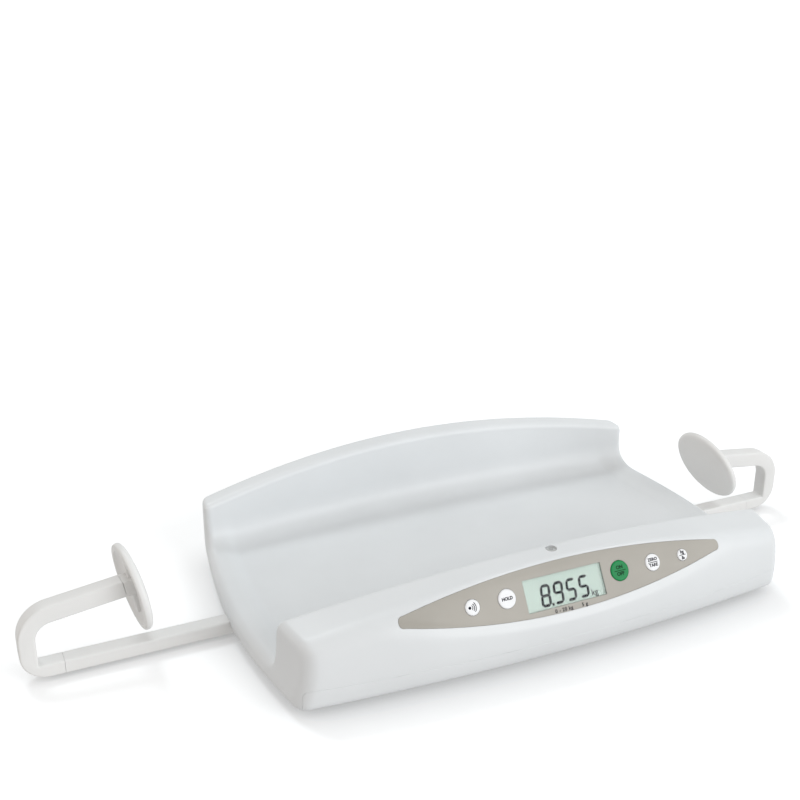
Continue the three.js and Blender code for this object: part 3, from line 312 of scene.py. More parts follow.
def outwards(solid):
    """The same solid, with all faces turned outwards."""
    bmesh.ops.recalc_face_normals(solid, faces=solid.faces)
    return solid


def bevel(solid, edges, offset, segments, clamp=False):
    """Rounds some edges of a solid."""
    bmesh.ops.bevel(solid, geom=edges, offset=offset, segments=segments, profile=0.5, affect="EDGES",
                    material=-1, clamp_overlap=clamp)


def mesh_of(name, solid):
    """A mesh of a solid, which is used up."""
    mesh = bpy.data.meshes.new(name)
    solid.to_mesh(mesh)
    solid.free()
    return mesh


def as_solid(thing):
    """A solid of an object as it looks with its modifiers."""
    ready = thing.evaluated_get(bpy.context.evaluated_depsgraph_get())
    solid = bmesh.new()
    solid.from_mesh(ready.to_mesh())
    ready.to_mesh_clear()
    return solid


# %% Adding a piece, and cutting one solid with others


def add_piece(name, solid, body, finish, stands_for=()):
    """Makes a finished piece of a drawn solid."""
    merged(solid)
    bmesh.ops.dissolve_degenerate(solid, edges=solid.edges, dist=merge_distance)
    placed(outwards(solid), to_model)
    for face in solid.faces:
        face.smooth = True
    for edge in solid.edges:
        if len(edge.link_faces) == 2:
            edge.smooth = edge.calc_face_angle() < sharp_angle
    mesh = mesh_of(name, solid)
    mesh.materials.append(finishes[finish])
    piece = link(bpy.data.objects.new(name, mesh))
    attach(piece, body)
    if stands_for:
        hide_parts(*stands_for)
    print(name, len(mesh.polygons), "faces")


def boolean(solid, tools, operation="DIFFERENCE"):
    """Cuts or joins a solid with one tool after another and returns the result."""
    for tool in tools:
        things = [bpy.data.objects.new("work", mesh_of("work", outwards(part))) for part in (solid, tool)]
        work, helper = [link(thing) for thing in things]
        modifier = work.modifiers.new("cut", "BOOLEAN")
        modifier.operation = operation
        modifier.solver = "EXACT"
        modifier.object = helper
        solid = as_solid(work)
        for thing in things:
            mesh = thing.data
            bpy.data.objects.remove(thing)
            bpy.data.meshes.remove(mesh)
    return solid


# %% Simple solids


def block(low, high):
    """A box between two corners."""
    solid = bmesh.new()
    bmesh.ops.create_cube(solid, size=1)
    bmesh.ops.scale(solid, vec=[h - l for l, h in zip(low, high)], verts=solid.verts)
    return shifted(solid, [(h + l) / 2 for l, h in zip(low, high)])


def post(x, y, radius, low, high, steps=48):
    """An upright round bar."""
    solid = bmesh.new()
    bmesh.ops.create_cone(
        solid, cap_ends=True, segments=steps, radius1=radius, radius2=radius, depth=high - low)
    return shifted(solid, (x, y, (low + high) / 2))


def plate(outline, low, high):
    """A flat outline, drawn in x and y, made thick from low to high."""
    solid = bmesh.new()
    face = solid.faces.new([solid.verts.new((x, y, low)) for x, y in outline])
    grown = bmesh.ops.extrude_face_region(solid, geom=[face])
    tops = [part for part in grown["geom"] if isinstance(part, bmesh.types.BMVert)]
    bmesh.ops.translate(solid, vec=(0, 0, high - low), verts=tops)
    return outwards(solid)


def turned(profile, steps=64):
    """A profile of (radius, height) pairs, spun round the z axis."""
    solid = bmesh.new()
    points = [solid.verts.new((radius, 0, height)) for radius, height in profile]
    edges = [solid.edges.new(pair) for pair in zip(points, points[1:])]
    bmesh.ops.spin(solid, geom=points + edges, axis=(0, 0, 1), cent=(0, 0, 0), angle=math.tau,
                   steps=steps, use_merge=True)
    return outwards(merged(solid))


print("tools are ready")

# %% [markdown]
# ## Curves
# Two curves serve for nearly everything: a quadratic turn, which leaves one point, bends
# towards a corner and arrives at another point, and an arc that rounds a corner by a radius.

# %% Turns and rounded outlines


def turn(start, corner, end, steps):
    """Points of a quadratic curve from start to end that bends towards corner."""
    points = []
    for i in range(steps + 1):
        t = i / steps
        a, b, c = (1 - t) ** 2, 2 * t * (1 - t), t ** 2
        points.append(tuple(a * p + b * q + c * r for p, q, r in zip(start, corner, end)))
    return points


def rounded(corners, steps=12):
    """An outline through (x, y, radius) corners, each rounded by its radius."""
    outline = []
    for i, (x, y, radius) in enumerate(corners):
        at = Vector((x, y))
        back = (Vector(corners[i - 1][:2]) - at).normalized()
        onward = (Vector(corners[(i + 1) % len(corners)][:2]) - at).normalized()
        if radius <= 0:
            outline.append((x, y))
            continue
        half = back.angle(onward) / 2
        centre = at + (back + onward).normalized() * (radius / math.sin(half))
        first = at + back * (radius / math.tan(half)) - centre
        last = at + onward * (radius / math.tan(half)) - centre
        sweep = first.angle_signed(last)
        for k in range(steps + 1):
            swing = -sweep * k / steps
            c, s = math.cos(swing), math.sin(swing)
            outline.append((centre.x + c * first.x - s * first.y, centre.y + s * first.x + c * first.y))
    return outline


def rounded_rectangle(width, height, radius, x=0, y=0, steps=6):
    """A rectangle with round corners, centred on a point."""
    a, b = width / 2, height / 2
    corners = [(x + a, y - b), (x + a, y + b), (x - a, y + b), (x - a, y - b)]
    return rounded([(*corner, radius) for corner in corners], steps)


print("a rounded square has", len(rounded_rectangle(10, 10, 2)), "points")

# %% [markdown]
# ## The moulded body
# The tray and the base were drawn as one body and split later, as a mould maker does. The
# body is a sweep: its cross-section changes along the length, because both rails bow
# outwards and rise towards the middle. Each station's outline is the last one's edges
# extruded, and then moved to the new section. The section is a U with a thick front rail.

# %% Sizes of the body
half_length = 275
bottom_z = 8
ridge_z, ridge_arch = 82.3, 29.8
trough_half, ridge_bow = 134.3, 21.2
floor_z, lip_rise, lip_width, lip_radius = 29, 4.2, 18, 9
corner_radius, ridge_end_radius, edge_radius = 12, 8, 12
end_bulge, front_bulge, rear_bulge, end_draft, draft_front = 17.9, 170, 184, 9.5, -60
front = dict(edge_y=188, edge_bow=12, top_drop=2.5, top_radius=17, ridge_radius=4, belly_y=193,
             belly_bow=29, belly_z=44, belly_rise=8, heel_y=187, heel_bow=18, fillet=20)
rear = dict(y=147.5, thickness=25, flare=3, outer=5, outer_share=0.4, inner=7, inner_share=0.56,
            drop=1.5, end=7, inner_end=8, top_end=4, fillet=32)
hollow_fillet = 0.6
bed_steps = 8
wall = 2.6
gap = 0.3
run_gap = 0.4
print("the body is", 2 * half_length, "mm long before its ends bulge")

# %% The cross-section at a place along the body


def draw_in(x, radius, reach):
    """How far a rounded edge has drawn in at x, near an end at reach."""
    past = max(0, abs(x) - (reach - radius))
    return radius - math.sqrt(max(0, radius ** 2 - past ** 2))


def smooth_step(x, low, high):
    """0 below low, 1 above high, and a soft rise between them."""
    share = min(1, max(0, (x - low) / (high - low)))
    return share * share * (3 - 2 * share)


def mix(a, b, share):
    """The point that lies a share of the way from a to b."""
    return tuple(p + (q - p) * share for p, q in zip(a, b))


def towards(a, b, distance):
    """The point that lies a distance from a on the way to b."""
    return mix(a, b, distance / math.dist(a, b))


def body_section(x, inset=0, fine=8):
    """The body's outline in y and z at x, drawn in by inset for the hollow."""
    bow = 1 - (x / half_length) ** 2

    def drawn(radius):
        return draw_in(x, radius - inset, half_length - inset)

    def front_y(part):
        return drawn(corner_radius) + inset - (front[part + "_y"] + front[part + "_bow"] * bow)

    ridge_top = ridge_z + ridge_arch * bow
    top_z = ridge_top - drawn(ridge_end_radius) - inset
    low_z = bottom_z + drawn(edge_radius) + inset
    edge = edge_radius - inset
    trough_y = trough_half + ridge_bow * bow
    inner_y = trough_y + inset
    lip = lip_rise * smooth_step(abs(x), half_length - 2 * lip_width, half_length - lip_width)
    bed_z = floor_z + lip - drawn(lip_radius) - inset
    rear_bow = rear["y"] + ridge_bow * bow
    rear_trough = rear_bow - rear["thickness"]
    fillet_share = hollow_fillet if inset else 1
    front_bed, rear_bed = -(trough_y - front["fillet"]), rear_trough - rear["fillet"]
    beds = [front_bed + (rear_bed - front_bed) * i / bed_steps for i in range(bed_steps + 1)]

    top_edge = (front_y("edge"), top_z - front["top_drop"])
    belly = (front_y("belly"), front["belly_z"] + front["belly_rise"] * bow)
    heel = (front_y("heel"), low_z + edge)
    ridge = max(front["ridge_radius"] - inset, front["ridge_radius"] / 4)
    ridge_front = (-inner_y - ridge, top_z)
    top_start = towards(top_edge, ridge_front, front["top_radius"] - inset)
    top_end = towards(top_edge, belly, front["top_radius"] - inset)
    slope = (heel[0] - belly[0]) / (belly[1] - heel[1])
    heel_corner = (heel[0] + slope * edge, low_z)
    heel_end = (heel_corner[0] + edge, low_z)

    rear_y = rear_bow - drawn(rear["end"]) - inset
    rear_low = rear_y + rear["flare"]
    rear_in = rear_trough + drawn(rear["inner_end"]) + inset
    rim_z = ridge_top - drawn(rear["top_end"]) - inset
    rim_slope = rear["drop"] / (rear_y - rear_in)
    outer = min(rear["outer"], (rear_y - rear_in) * rear["outer_share"])
    inner = min(rear["inner"], (rear_y - rear_in) * rear["inner_share"])
    rim_in = rim_z - rear["drop"]
    rim_back = (rear_y - outer, rim_z - rim_slope * outer)
    rim_front = (rear_in + inner, rim_in + rim_slope * inner)

    outline = [(y, low_z) for y in beds]
    outline += turn((rear_low - edge, low_z), (rear_low, low_z), (rear_low, low_z + edge), fine)
    outline += turn((rear_y, rim_z - outer), (rear_y, rim_z), rim_back, fine)
    outline += turn(rim_front, (rear_in, rim_in), (rear_in, rim_in - inner), fine)
    rear_start = (rear_in, bed_z + rear["fillet"] * fillet_share + inset)
    outline += turn(rear_start, (rear_in, bed_z), (rear_bed, bed_z), fine * 2)[:-1]
    outline += [(y, bed_z) for y in reversed(beds)]
    front_end = (-inner_y, bed_z + front["fillet"] * fillet_share + inset)
    outline += turn((front_bed, bed_z), (-inner_y, bed_z), front_end, fine)[1:]
    outline += turn((-inner_y, top_z - ridge), (-inner_y, top_z), ridge_front, fine)
    outline += [mix(ridge_front, top_start, i / fine) for i in range(1, fine)]
    outline += turn(top_start, top_edge, top_end, fine * 2)
    outline += turn(top_end, belly, heel, fine * 4)[1:]
    return outline + turn(heel, heel_corner, heel_end, fine)[1:]


print("the section has", len(body_section(0)), "points")

# %% [markdown]
# ## Sweeping the body
# `extrude_edge_only` gives the next station, point by point from the last one. The two ends
# are closed with one face each, which is then cut into a grid with `bisect_plane`, because
# the end faces of the real body are not flat: they bulge outwards and lean, and a face can
# only bend where it has points. The parts to cut are kept in a dictionary, because that keeps
# their order from run to run and a set doesn't. The end faces of the hollow aren't cut, as
# they lie inside the walls.

# %% The sweep, its ends and their bulge
grid_y, grid_z = (-190, 170), (18, int(ridge_z + ridge_arch))


def stations(inset, end_steps, lip_steps, middle_steps):
    """Places along the body, close together where its shape changes quickly."""
    radius = corner_radius - inset
    start = half_length - inset - radius
    right = [start + radius * math.sin(i / end_steps * math.pi / 2) for i in range(end_steps + 1)]
    lip = [half_length - lip_width * (2 - i / lip_steps) for i in range(lip_steps + 1)]
    right = lip + [x for x in right if x > lip[-1] + 1]
    middle = [right[0] * (2 * i / middle_steps - 1) for i in range(1, middle_steps)]
    return [-x for x in reversed(right)] + middle + right


def cut_ends(solid, end_x, grid):
    """Cuts the two flat end faces into a grid."""
    cuts = [((0, y, 0), (0, 1, 0)) for y in range(*grid_y, grid)]
    cuts += [((0, 0, z), (0, 0, 1)) for z in range(*grid_z, grid)]
    for place, normal in cuts:
        faces = [face for face in solid.faces if abs(face.normal.x) > 0.99
                 and abs(abs(face.calc_center_median().x) - end_x) < hair]
        geometry = dict.fromkeys(faces)
        for face in faces:
            geometry.update(dict.fromkeys(face.edges))
            geometry.update(dict.fromkeys(face.verts))
        bmesh.ops.bisect_plane(solid, geom=list(geometry), plane_co=place, plane_no=normal, dist=hair)


def sweep_body(inset=0, fine=8, end_steps=8, lip_steps=6, middle_steps=36, grid=9):
    """The closed body, with its end faces bulged and leaning."""
    solid = bmesh.new()
    places = stations(inset, end_steps, lip_steps, middle_steps)
    ring = [solid.verts.new((places[0], y, z)) for y, z in body_section(places[0], inset, fine)]
    edges = [solid.edges.new((a, b)) for a, b in zip(ring, ring[1:] + ring[:1])]
    for x in places[1:]:
        grown = bmesh.ops.extrude_edge_only(solid, edges=edges)["geom"]
        fresh = {part for part in grown if isinstance(part, bmesh.types.BMVert)}
        edges = [part for part in grown if isinstance(part, bmesh.types.BMEdge)
                 and part.verts[0] in fresh and part.verts[1] in fresh]
        ring = [next(e.other_vert(v) for e in v.link_edges if e.other_vert(v) in fresh) for v in ring]
        for vertex, (y, z) in zip(ring, body_section(x, inset, fine)):
            vertex.co = (x, y, z)
    rims = [edge for edge in solid.edges if edge.is_boundary]
    bmesh.ops.holes_fill(solid, edges=rims, sides=0)
    if grid:
        cut_ends(solid, abs(places[0]), grid)
    for vertex in solid.verts:
        x, y, z = vertex.co
        bulge = end_bulge * (1 - ((y - rod_y) / (front_bulge if y < rod_y else rear_bulge)) ** 2)
        depth = max(0, ridge_z - z) / (ridge_z - bottom_z)
        draft = end_draft * depth ** 2 * (1 - smooth_step(y, draft_front, rear["y"]))
        vertex.co.x = x * (1 + (bulge + draft) / half_length)
    return outwards(solid)


def hollow_body():
    """The body's hollow: the same sweep in coarser steps, drawn in by the wall."""
    return sweep_body(wall, fine=3, end_steps=3, lip_steps=2, middle_steps=10, grid=0)


body = sweep_body()
print("the body has", len(body.verts), "points and", sum(not e.is_manifold for e in body.edges), "open edges")

# %% [markdown]
# ## The flat facet for the panel
# The front rail is pressed flat where the panel sits. A cut would leave a knife edge there,
# but the real edge is soft, so each point beyond the facet's plane is moved onto it, and
# points close to the plane follow a soft curve that meets it.

# %% Press the facet
tilt = math.radians(31.7)
facet_centre = Vector((0, -195.2, 87.3))
facet_frame = Matrix.Translation(facet_centre) @ Matrix.Rotation(math.pi / 2 - tilt, 4, "X")
facet_normal = Vector((0, -math.cos(tilt), math.sin(tilt)))


def press_flat(solid, softness, depth=0):
    """Moves what stands out beyond the facet's plane onto it, with soft edges."""
    moved = 0
    for vertex in solid.verts:
        out = (vertex.co - facet_centre).dot(facet_normal) + depth
        if out > -softness:
            kept = 0 if out >= softness else -((softness - out) ** 2) / (4 * softness)
            vertex.co -= facet_normal * (out - kept)
            moved += 1
    return moved


def on_facet(solid):
    """Carries what was drawn flat in x and y onto the facet."""
    return placed(solid, facet_frame)


print("points pressed:", press_flat(body, softness=1.4))

# %% [markdown]
# ## Splitting the body
# The parting line runs low along the front and lower still under the trough. The base is
# what lies inside two long blocks with rounded edges; the tray is the rest. A small gap
# between them draws the line that the eye sees.

# %% The two blocks of the base
skirt, seam_z, seam_floor, step_y, seam_corner = 277, 36.5, 26, -162, 9
seam_gap, seam_radius = 0.16, 0.6
past_side, past_bottom, past_top = 300, 12, 200


def base_block(grow, high_z, high_y):
    """A long block under the body with its edges along y rounded."""
    solid = block((-skirt - grow, -past_side, bottom_z - past_bottom), (skirt + grow, high_y, high_z + grow))
    along = [e for e in solid.edges if abs(e.verts[0].co.y - e.verts[1].co.y) > 1]
    bevel(solid, along, seam_corner, 8)
    return solid


def base_blocks(grow):
    """Both blocks; the front one is higher."""
    return [base_block(grow, seam_floor, past_side), base_block(grow, seam_z, step_y + grow)]


low_blocks = base_blocks(-seam_gap / 2)
base_space = boolean(low_blocks[0], [low_blocks[1]], "UNION")
base = boolean(body.copy(), [base_space], "INTERSECT")
tray = boolean(body, base_blocks(seam_gap / 2))
rim_height = seam_z - seam_gap / 2
rim = [e for e in base.edges if all(abs(v.co.z - rim_height) < hair and v.co.y < step_y - 3 for v in e.verts)
       and len(e.link_faces) == 2 and e.calc_face_angle() > 0.6]
bevel(base, rim, seam_radius, 2)
print("edges softened along the seam:", len(rim))
print("tray faces:", len(tray.faces), "base faces:", len(base.faces))

# %% [markdown]
# ## Hollowing the tray and cutting its openings
# The tray is a shell: the same sweep, drawn in by the wall, is cut out of it. Then come the
# channel of the two rods, the recess for the panel, the screen's opening, the key holes and
# the seat of the level. A key is given by its place, as a share of the panel's half length,
# and by its radius.

# %% Sizes of the rods' bar, the panel and its keys
rod = dict(width=18.9, low=5.1, height=14.5, edge=2.2, bar=265, seam=41.5, stop=12, stop_rise=1.8)
bar_top = rod["low"] + rod["height"]
channel_half = rod["width"] / 2 + run_gap
channel_roof = bar_top + run_gap
panel = dict(thickness=1, half=184, top=25.3, top_sag=17.3, low=26.2, low_sag=22.3, tip=6, edge=0.25)
screen = dict(x=-5, v=-3.3, width=90, height=32.5, thickness=2.4, corner=0.8, edge=0.4)
key_places = {
    "sound": (-0.5838, 7.7),
    "hold": (-0.38, 9.5),
    "on_off": (0.3262, 10.3),
    "zero_tare": (0.5445, 8.7),
    "unit": (0.7456, 6),
}
keys = {name: (share * panel["half"], radius) for name, (share, radius) in key_places.items()}
level = dict(x=-3, behind_ridge=9, rim=5.6, thickness=1.2, cup=4.4, depth=7)
level_y = -(trough_half + ridge_bow + level["behind_ridge"])
level_z = ridge_z + ridge_arch - front["top_drop"] / 2 + gap
print("keys at", {name: round(x, 1) for name, (x, radius) in keys.items()})

# %% Outlines on the facet


def lens_outline(margin):
    """The panel's outline on the facet, drawn in by margin."""
    side = panel["half"] - panel["tip"]
    end = panel["half"] - margin
    high = panel["top"] - panel["top_sag"] - margin
    low = panel["low_sag"] - panel["low"] + margin
    middle = (high + low) / 2
    crown = panel["top"] + panel["top_sag"] - margin
    keel = margin - panel["low"] - panel["low_sag"]
    outline = []
    for start, corner, finish, steps in [
        ((-side, low), (0, keel), (side, low), 28),
        ((side, low), (end, low), (end, middle), 8),
        ((end, middle), (end, high), (side, high), 8),
        ((side, high), (0, crown), (-side, high), 28),
        ((-side, high), (-end, high), (-end, middle), 8),
        ((-end, middle), (-end, low), (-side, low), 8),
    ]:
        outline += turn(start, corner, finish, steps)[:-1]
    return outline


def window_outline(grow):
    """The screen's opening, grown by an amount."""
    width, height = screen["width"] + 2 * grow, screen["height"] + 2 * grow
    return rounded_rectangle(width, height, screen["corner"], screen["x"], screen["v"])


print("the panel's outline has", len(lens_outline(0)), "points")

# %% Cut the tray
past_end, under_ground = 320, -3
under_facet, over_facet = -9, 8
under_level, over_level = -12, 6


def channel_block():
    """The space of the channel that the two rods slide in."""
    low, high = rod_y - channel_half, rod_y + channel_half
    return block((-past_end, low, under_ground), (past_end, high, channel_roof))


hollow = hollow_body()
press_flat(hollow, softness=1, depth=wall)
level_seat = level_z - level["thickness"] - gap
cutters = [
    hollow,
    channel_block(),
    on_facet(plate(lens_outline(-gap), -panel["thickness"] - gap, over_facet)),
    on_facet(plate(window_outline(0), under_facet, over_facet)),
]
cutters += [on_facet(post(x, 0, radius + run_gap, under_facet, over_facet)) for x, radius in keys.values()]
cutters.append(post(level["x"], level_y, level["rim"] + gap, level_seat, level_z + over_level))
cutters.append(post(level["x"], level_y, level["cup"] + gap, level_z + under_level, level_z))
add_piece("tray_shell", boolean(tray, cutters), "scale", "shell", ["weighing_tray"])

# %% [markdown]
# ## The base
# The base is the lower part of the same body. Inside it is a tunnel for the two rods, a bay
# for the cells, seats for the four load cells and bosses for the screws. Most of this can
# only be seen from below, as the openings in a flat underside.

# %% Sizes of what is under the base
inner_z = bottom_z + wall
cell = dict(radius=5.2, length=44, count=4, pitch=11.2)
bay = dict(y=64, contacts=3.6, wall=1.8, side=1.2, roof_gap=0.5)
bay_x = cell["count"] * cell["pitch"] / 2 + bay["side"]
bay_y = cell["length"] / 2 + bay["contacts"]
bay_roof = inner_z + gap + 2 * cell["radius"] + bay["roof_gap"]
bay_low = (-bay_x, bay["y"] - bay_y, bottom_z)
bay_high = (bay_x, bay["y"] + bay_y, bay_roof)
into_bay = 3
latch = dict(half=7.4, reach=3.4)
lug = dict(half=4.9, inset=9, reach=3, roof=12.9)
channel_wall = dict(end=1.3, side=2.2, roof=4.8)
screw_space = dict(inset=4.2, boss=6.2, boss_rise=1.6, bore=1.7, bore_rise=8, head=3.7, head_rise=2.3)
foot = dict(pad=17, pad_top=3, cup=20, cup_low=2.3, cup_top=5.7, stub=6, stub_top=10.9, edge=0.6,
            tongue=14.6, tongue_rise=3.3)
feet = {
    "foot_end_front": (-226, -134),
    "foot_end_rear": (-226, 112),
    "head_end_front": (226, -134),
    "head_end_rear": (226, 112),
}
screw_shares = {
    "foot_end_front": (-0.9, -0.62),
    "foot_end_rear": (-0.9, 0.42),
    "middle_front": (0.18, -0.72),
    "middle_rear": (0.3, 0.66),
    "head_end_front": (0.9, -0.62),
    "head_end_rear": (0.9, 0.42),
}
screw_reach = skirt - screw_space["inset"]
screws = {name: (x * screw_reach, y * trough_half) for name, (x, y) in screw_shares.items()}
print(len(feet), "feet and", len(screws), "screws")

# %% Fit out the base
end_wall = skirt - gap / 2 - wall
between_ends = block((-end_wall, -past_side, 0), (end_wall, past_side, past_top))
base = boolean(base, [boolean(hollow_body(), [between_ends], "INTERSECT")])

wall_x, wall_y = end_wall + channel_wall["end"], channel_half + channel_wall["side"]
rooms = [
    block((-wall_x, rod_y - wall_y, bottom_z), (wall_x, rod_y + wall_y, channel_roof + channel_wall["roof"])),
    block((bay_low[0] - bay["wall"], bay_low[1] - bay["wall"], bottom_z),
          (bay_high[0] + bay["wall"], bay_high[1] + bay["wall"], bay_high[2] + wall)),
]
boss_top = inner_z + screw_space["boss_rise"]
rooms += [post(x, y, screw_space["boss"], bottom_z, boss_top, 32) for x, y in screws.values()]
base = boolean(base, rooms, "UNION")

cutters = [
    channel_block(),
    block((bay_low[0], bay_low[1], 0), bay_high),
    block((-latch["half"], bay_low[1] - latch["reach"], 0), (latch["half"], bay_low[1] + into_bay, inner_z)),
]
for middle in (lug["inset"] - bay_x, bay_x - lug["inset"]):
    cutters.append(block((middle - lug["half"], bay_high[1] - into_bay, inner_z),
                         (middle + lug["half"], bay_high[1] + lug["reach"], lug["roof"])))
for x, y in feet.values():
    cutters.append(post(x, y, foot["tongue"], 0, inner_z + foot["tongue_rise"]))
    cutters.append(post(x, y, foot["cup"] + run_gap, 0, bottom_z + wall / 2, 64))
for x, y in screws.values():
    cutters.append(post(x, y, screw_space["bore"], 0, bottom_z + screw_space["bore_rise"], 24))
    cutters.append(post(x, y, screw_space["head"], 0, bottom_z + screw_space["head_rise"], 32))
add_piece("base_tub", boolean(base, cutters), "scale", "shell", ["base_shell"])

# %% [markdown]
# ## The panel
# The panel is a thin fascia. It is the lens-shaped outline made thick, with the screen's
# opening and the key holes cut out, and a fine bevel round its rim so that the edge catches
# the light.

# %% The fascia
under_panel, over_panel = -3, 3


def upper_edges(solid, height):
    """The edges of a solid that lie at a height or above it."""
    return [edge for edge in solid.edges if all(vertex.co.z > height - hair for vertex in edge.verts)]


fascia = plate(lens_outline(0), -panel["thickness"], 0)
bevel(fascia, upper_edges(fascia, 0), panel["edge"], 2)
cutters = [plate(window_outline(0), under_panel, over_panel)]
cutters += [post(x, 0, radius + run_gap, under_panel, over_panel, 64) for x, radius in keys.values()]
add_piece("fascia", on_facet(boolean(fascia, cutters)), "scale", "panel", ["control_panel"])

# %% [markdown]
# ## The screen
# Behind the window lies a liquid-crystal screen. Its figures are built from seven segments,
# as on a real one: each is a bar with pointed ends, and a table says which segments make
# which figure. They are less than a tenth of a millimetre thick and lie on the screen, so
# they keep their depth behind the window when the view moves.

# %% The window
window = plate(window_outline(-gap), -screen["thickness"] - gap, -gap)
bevel(window, upper_edges(window, -gap), screen["edge"], 3)
add_piece("screen_window", on_facet(window), "scale", "window", ["display_window"])

# %% The figures
screen_depth = -(wall + gap)
film = (screen_depth + 0.02, screen_depth + 0.1)
figure = dict(width=11.4, height=22, pitch=14.6, stroke=2.8, space=0.1, slant=0.1, left=27.4, drop=3.1)
dot = dict(width=2.4, height=2.8, radius=0.3, rise=1.2)
segment_table = {"8": "abcdefg", "9": "abcdfg", "5": "acdfg"}


def segment_outlines():
    """The seven bars of one figure, each as an outline round the figure's middle."""
    half = figure["stroke"] / 2
    w, h = figure["width"] / 2 - half, figure["height"] / 2 - half
    joints = {
        "a": ((-w, h), (w, h)), "g": ((-w, 0), (w, 0)), "d": ((-w, -h), (w, -h)),
        "f": ((-w, 0), (-w, h)), "b": ((w, 0), (w, h)), "e": ((-w, -h), (-w, 0)), "c": ((w, -h), (w, 0)),
    }
    bars = {}
    for name, (start, end) in joints.items():
        along = (Vector(end) - Vector(start)).normalized()
        across = Vector((-along.y, along.x)) * half
        first = Vector(start) + along * figure["space"]
        last = Vector(end) - along * figure["space"]
        bars[name] = [first, first + along * half - across, last - along * half - across, last,
                      last - along * half + across, first + along * half + across]
    return bars


def join_solids(solids):
    """Several separate solids as one."""
    whole = solids[0]
    for part in solids[1:]:
        mesh = mesh_of("part", part)
        whole.from_mesh(mesh)
        bpy.data.meshes.remove(mesh)
    return whole


bars = segment_outlines()
shapes = []
figure_v = screen["v"] - figure["drop"]
first_x = screen["x"] - figure["left"] + figure["width"] / 2
for place, digit in enumerate("8955"):
    x = first_x + place * figure["pitch"]
    for name in segment_table[digit]:
        shapes.append(plate([(x + p.x + p.y * figure["slant"], figure_v + p.y) for p in bars[name]], *film))
dot_x = first_x + figure["pitch"] / 2 - figure["height"] / 2 * figure["slant"]
dot_v = figure_v - figure["height"] / 2 + dot["rise"]
shapes.append(plate(rounded_rectangle(dot["width"], dot["height"], dot["radius"], dot_x, dot_v), *film))
add_piece("screen_figures", on_facet(join_solids(shapes)), "scale", "segments")

# %% [markdown]
# ## Lettering
# Keys on such scales carry short printed words, and the panel states the range. A text
# object is turned into a mesh first and then placed on its key or on the panel, so that
# nothing depends on the text afterwards.

# %% A printed word
ink_depth = 0.02


def printed(text, size, x, v, height, spacing=1.0, weight=0.02):
    """A word as a thin solid on the facet, centred on a point."""
    curve = bpy.data.curves.new("word", "FONT")
    curve.body = text
    curve.size = size
    curve.align_x = "CENTER"
    curve.align_y = "CENTER"
    curve.space_character = spacing
    curve.extrude = ink_depth
    curve.offset = size * weight
    curve.resolution_u = 3
    word = link(bpy.data.objects.new("word", curve))
    solid = as_solid(word)
    bpy.data.objects.remove(word)
    bpy.data.curves.remove(curve)
    return shifted(merged(solid), (x, v, height + ink_depth))


unit_place = (screen["x"] + 32.8, screen["v"] - 11.4)
range_place = (screen["x"] + 2, screen["v"] - 20.2)
unit = printed("kg", 8.4, *unit_place, film[0], weight=0.015)
add_piece("screen_unit", on_facet(unit), "scale", "segments")
limits = printed("0 - 20 kg      5 g", 5, *range_place, 0, spacing=1.12, weight=0.03)
add_piece("range_print", on_facet(limits), "scale", "ink")

# %% [markdown]
# ## The keys
# A key is a turned piece: a cap with a softly domed edge, a flange that keeps it behind the
# shell, and a stem that presses its switch. Its word lies on the flat of the cap and rides
# with it.

# %% The five keys
key = dict(rise=1.1, dome=0.8, travel=0.8, flange=1.2, flange_thickness=1.1, stem=2.4)
board_depth, switch_height, plunger_height = 12.4, 3.5, 0.8
flange_top = -wall - gap
flange_low = flange_top - key["flange_thickness"]
stem_low = 2 * gap + switch_height + plunger_height + key["travel"] - board_depth
faces = {"on_off": "button_green"}
for name, (x, radius) in keys.items():
    rise, flange = key["rise"], radius + key["flange"]
    profile = [(0, stem_low), (key["stem"], stem_low), (key["stem"], flange_low)]
    profile += [(flange, flange_low), (flange, flange_top), (radius, flange_top)]
    profile += turn((radius, rise - key["dome"]), (radius, rise), (radius - 3 * key["dome"], rise), 8)
    cap = shifted(turned(profile + [(0, rise)]), (x, 0, 0))
    finish = faces.get(name, "button_white")
    add_piece(name + "_key", on_facet(cap), name + "_button", finish, [name + "_button"])

# %% Words and marks on the keys
top = key["rise"]
mark = (top + 0.01, top + 0.04)
wave = dict(left=3.2, dot=1.5, radii=(3.1, 4.9, 6.7), spread=42, stroke=0.8)


def ring_points(x, radius, angles):
    """Points round (x, 0) at the given angles."""
    return [(x + radius * math.cos(a), radius * math.sin(a)) for a in angles]


def arc_mark(x, radius):
    """A curved stroke, part of a ring round (x, 0)."""
    steps = 14
    angles = [math.radians(wave["spread"] * (2 * i / steps - 1)) for i in range(steps + 1)]
    outer = ring_points(x, radius + wave["stroke"] / 2, angles)
    inner = ring_points(x, radius - wave["stroke"] / 2, angles)
    return plate(outer + inner[::-1], *mark)


sound_x = keys["sound"][0] - wave["left"]
waves = [arc_mark(sound_x, radius) for radius in wave["radii"]]
waves.append(plate(ring_points(sound_x, wave["dot"], [a / 12 * math.tau for a in range(12)]), *mark))
add_piece("sound_mark", on_facet(join_solids(waves)), "sound_button", "ink")
hold = printed("HOLD", 4.3, keys["hold"][0], 0, top, weight=0.05)
add_piece("hold_word", on_facet(hold), "hold_button", "ink")
for name, words, size, finish in [
    ("on_off", ("ON", "OFF"), 4.9, "green_ink"),
    ("zero_tare", ("ZERO", "TARE"), 4.3, "ink"),
    ("unit", ("kg", "lb"), 4.6, "ink"),
]:
    x, radius = keys[name]
    rise = size * 0.68
    parts = [printed(word, size, x, v, top, weight=0.045) for word, v in zip(words, (rise, -rise))]
    parts.append(plate(rounded_rectangle(radius * 1.3, 0.7, 0.1, x, 0), *mark))
    add_piece(name + "_words", on_facet(join_solids(parts)), name + "_button", finish)

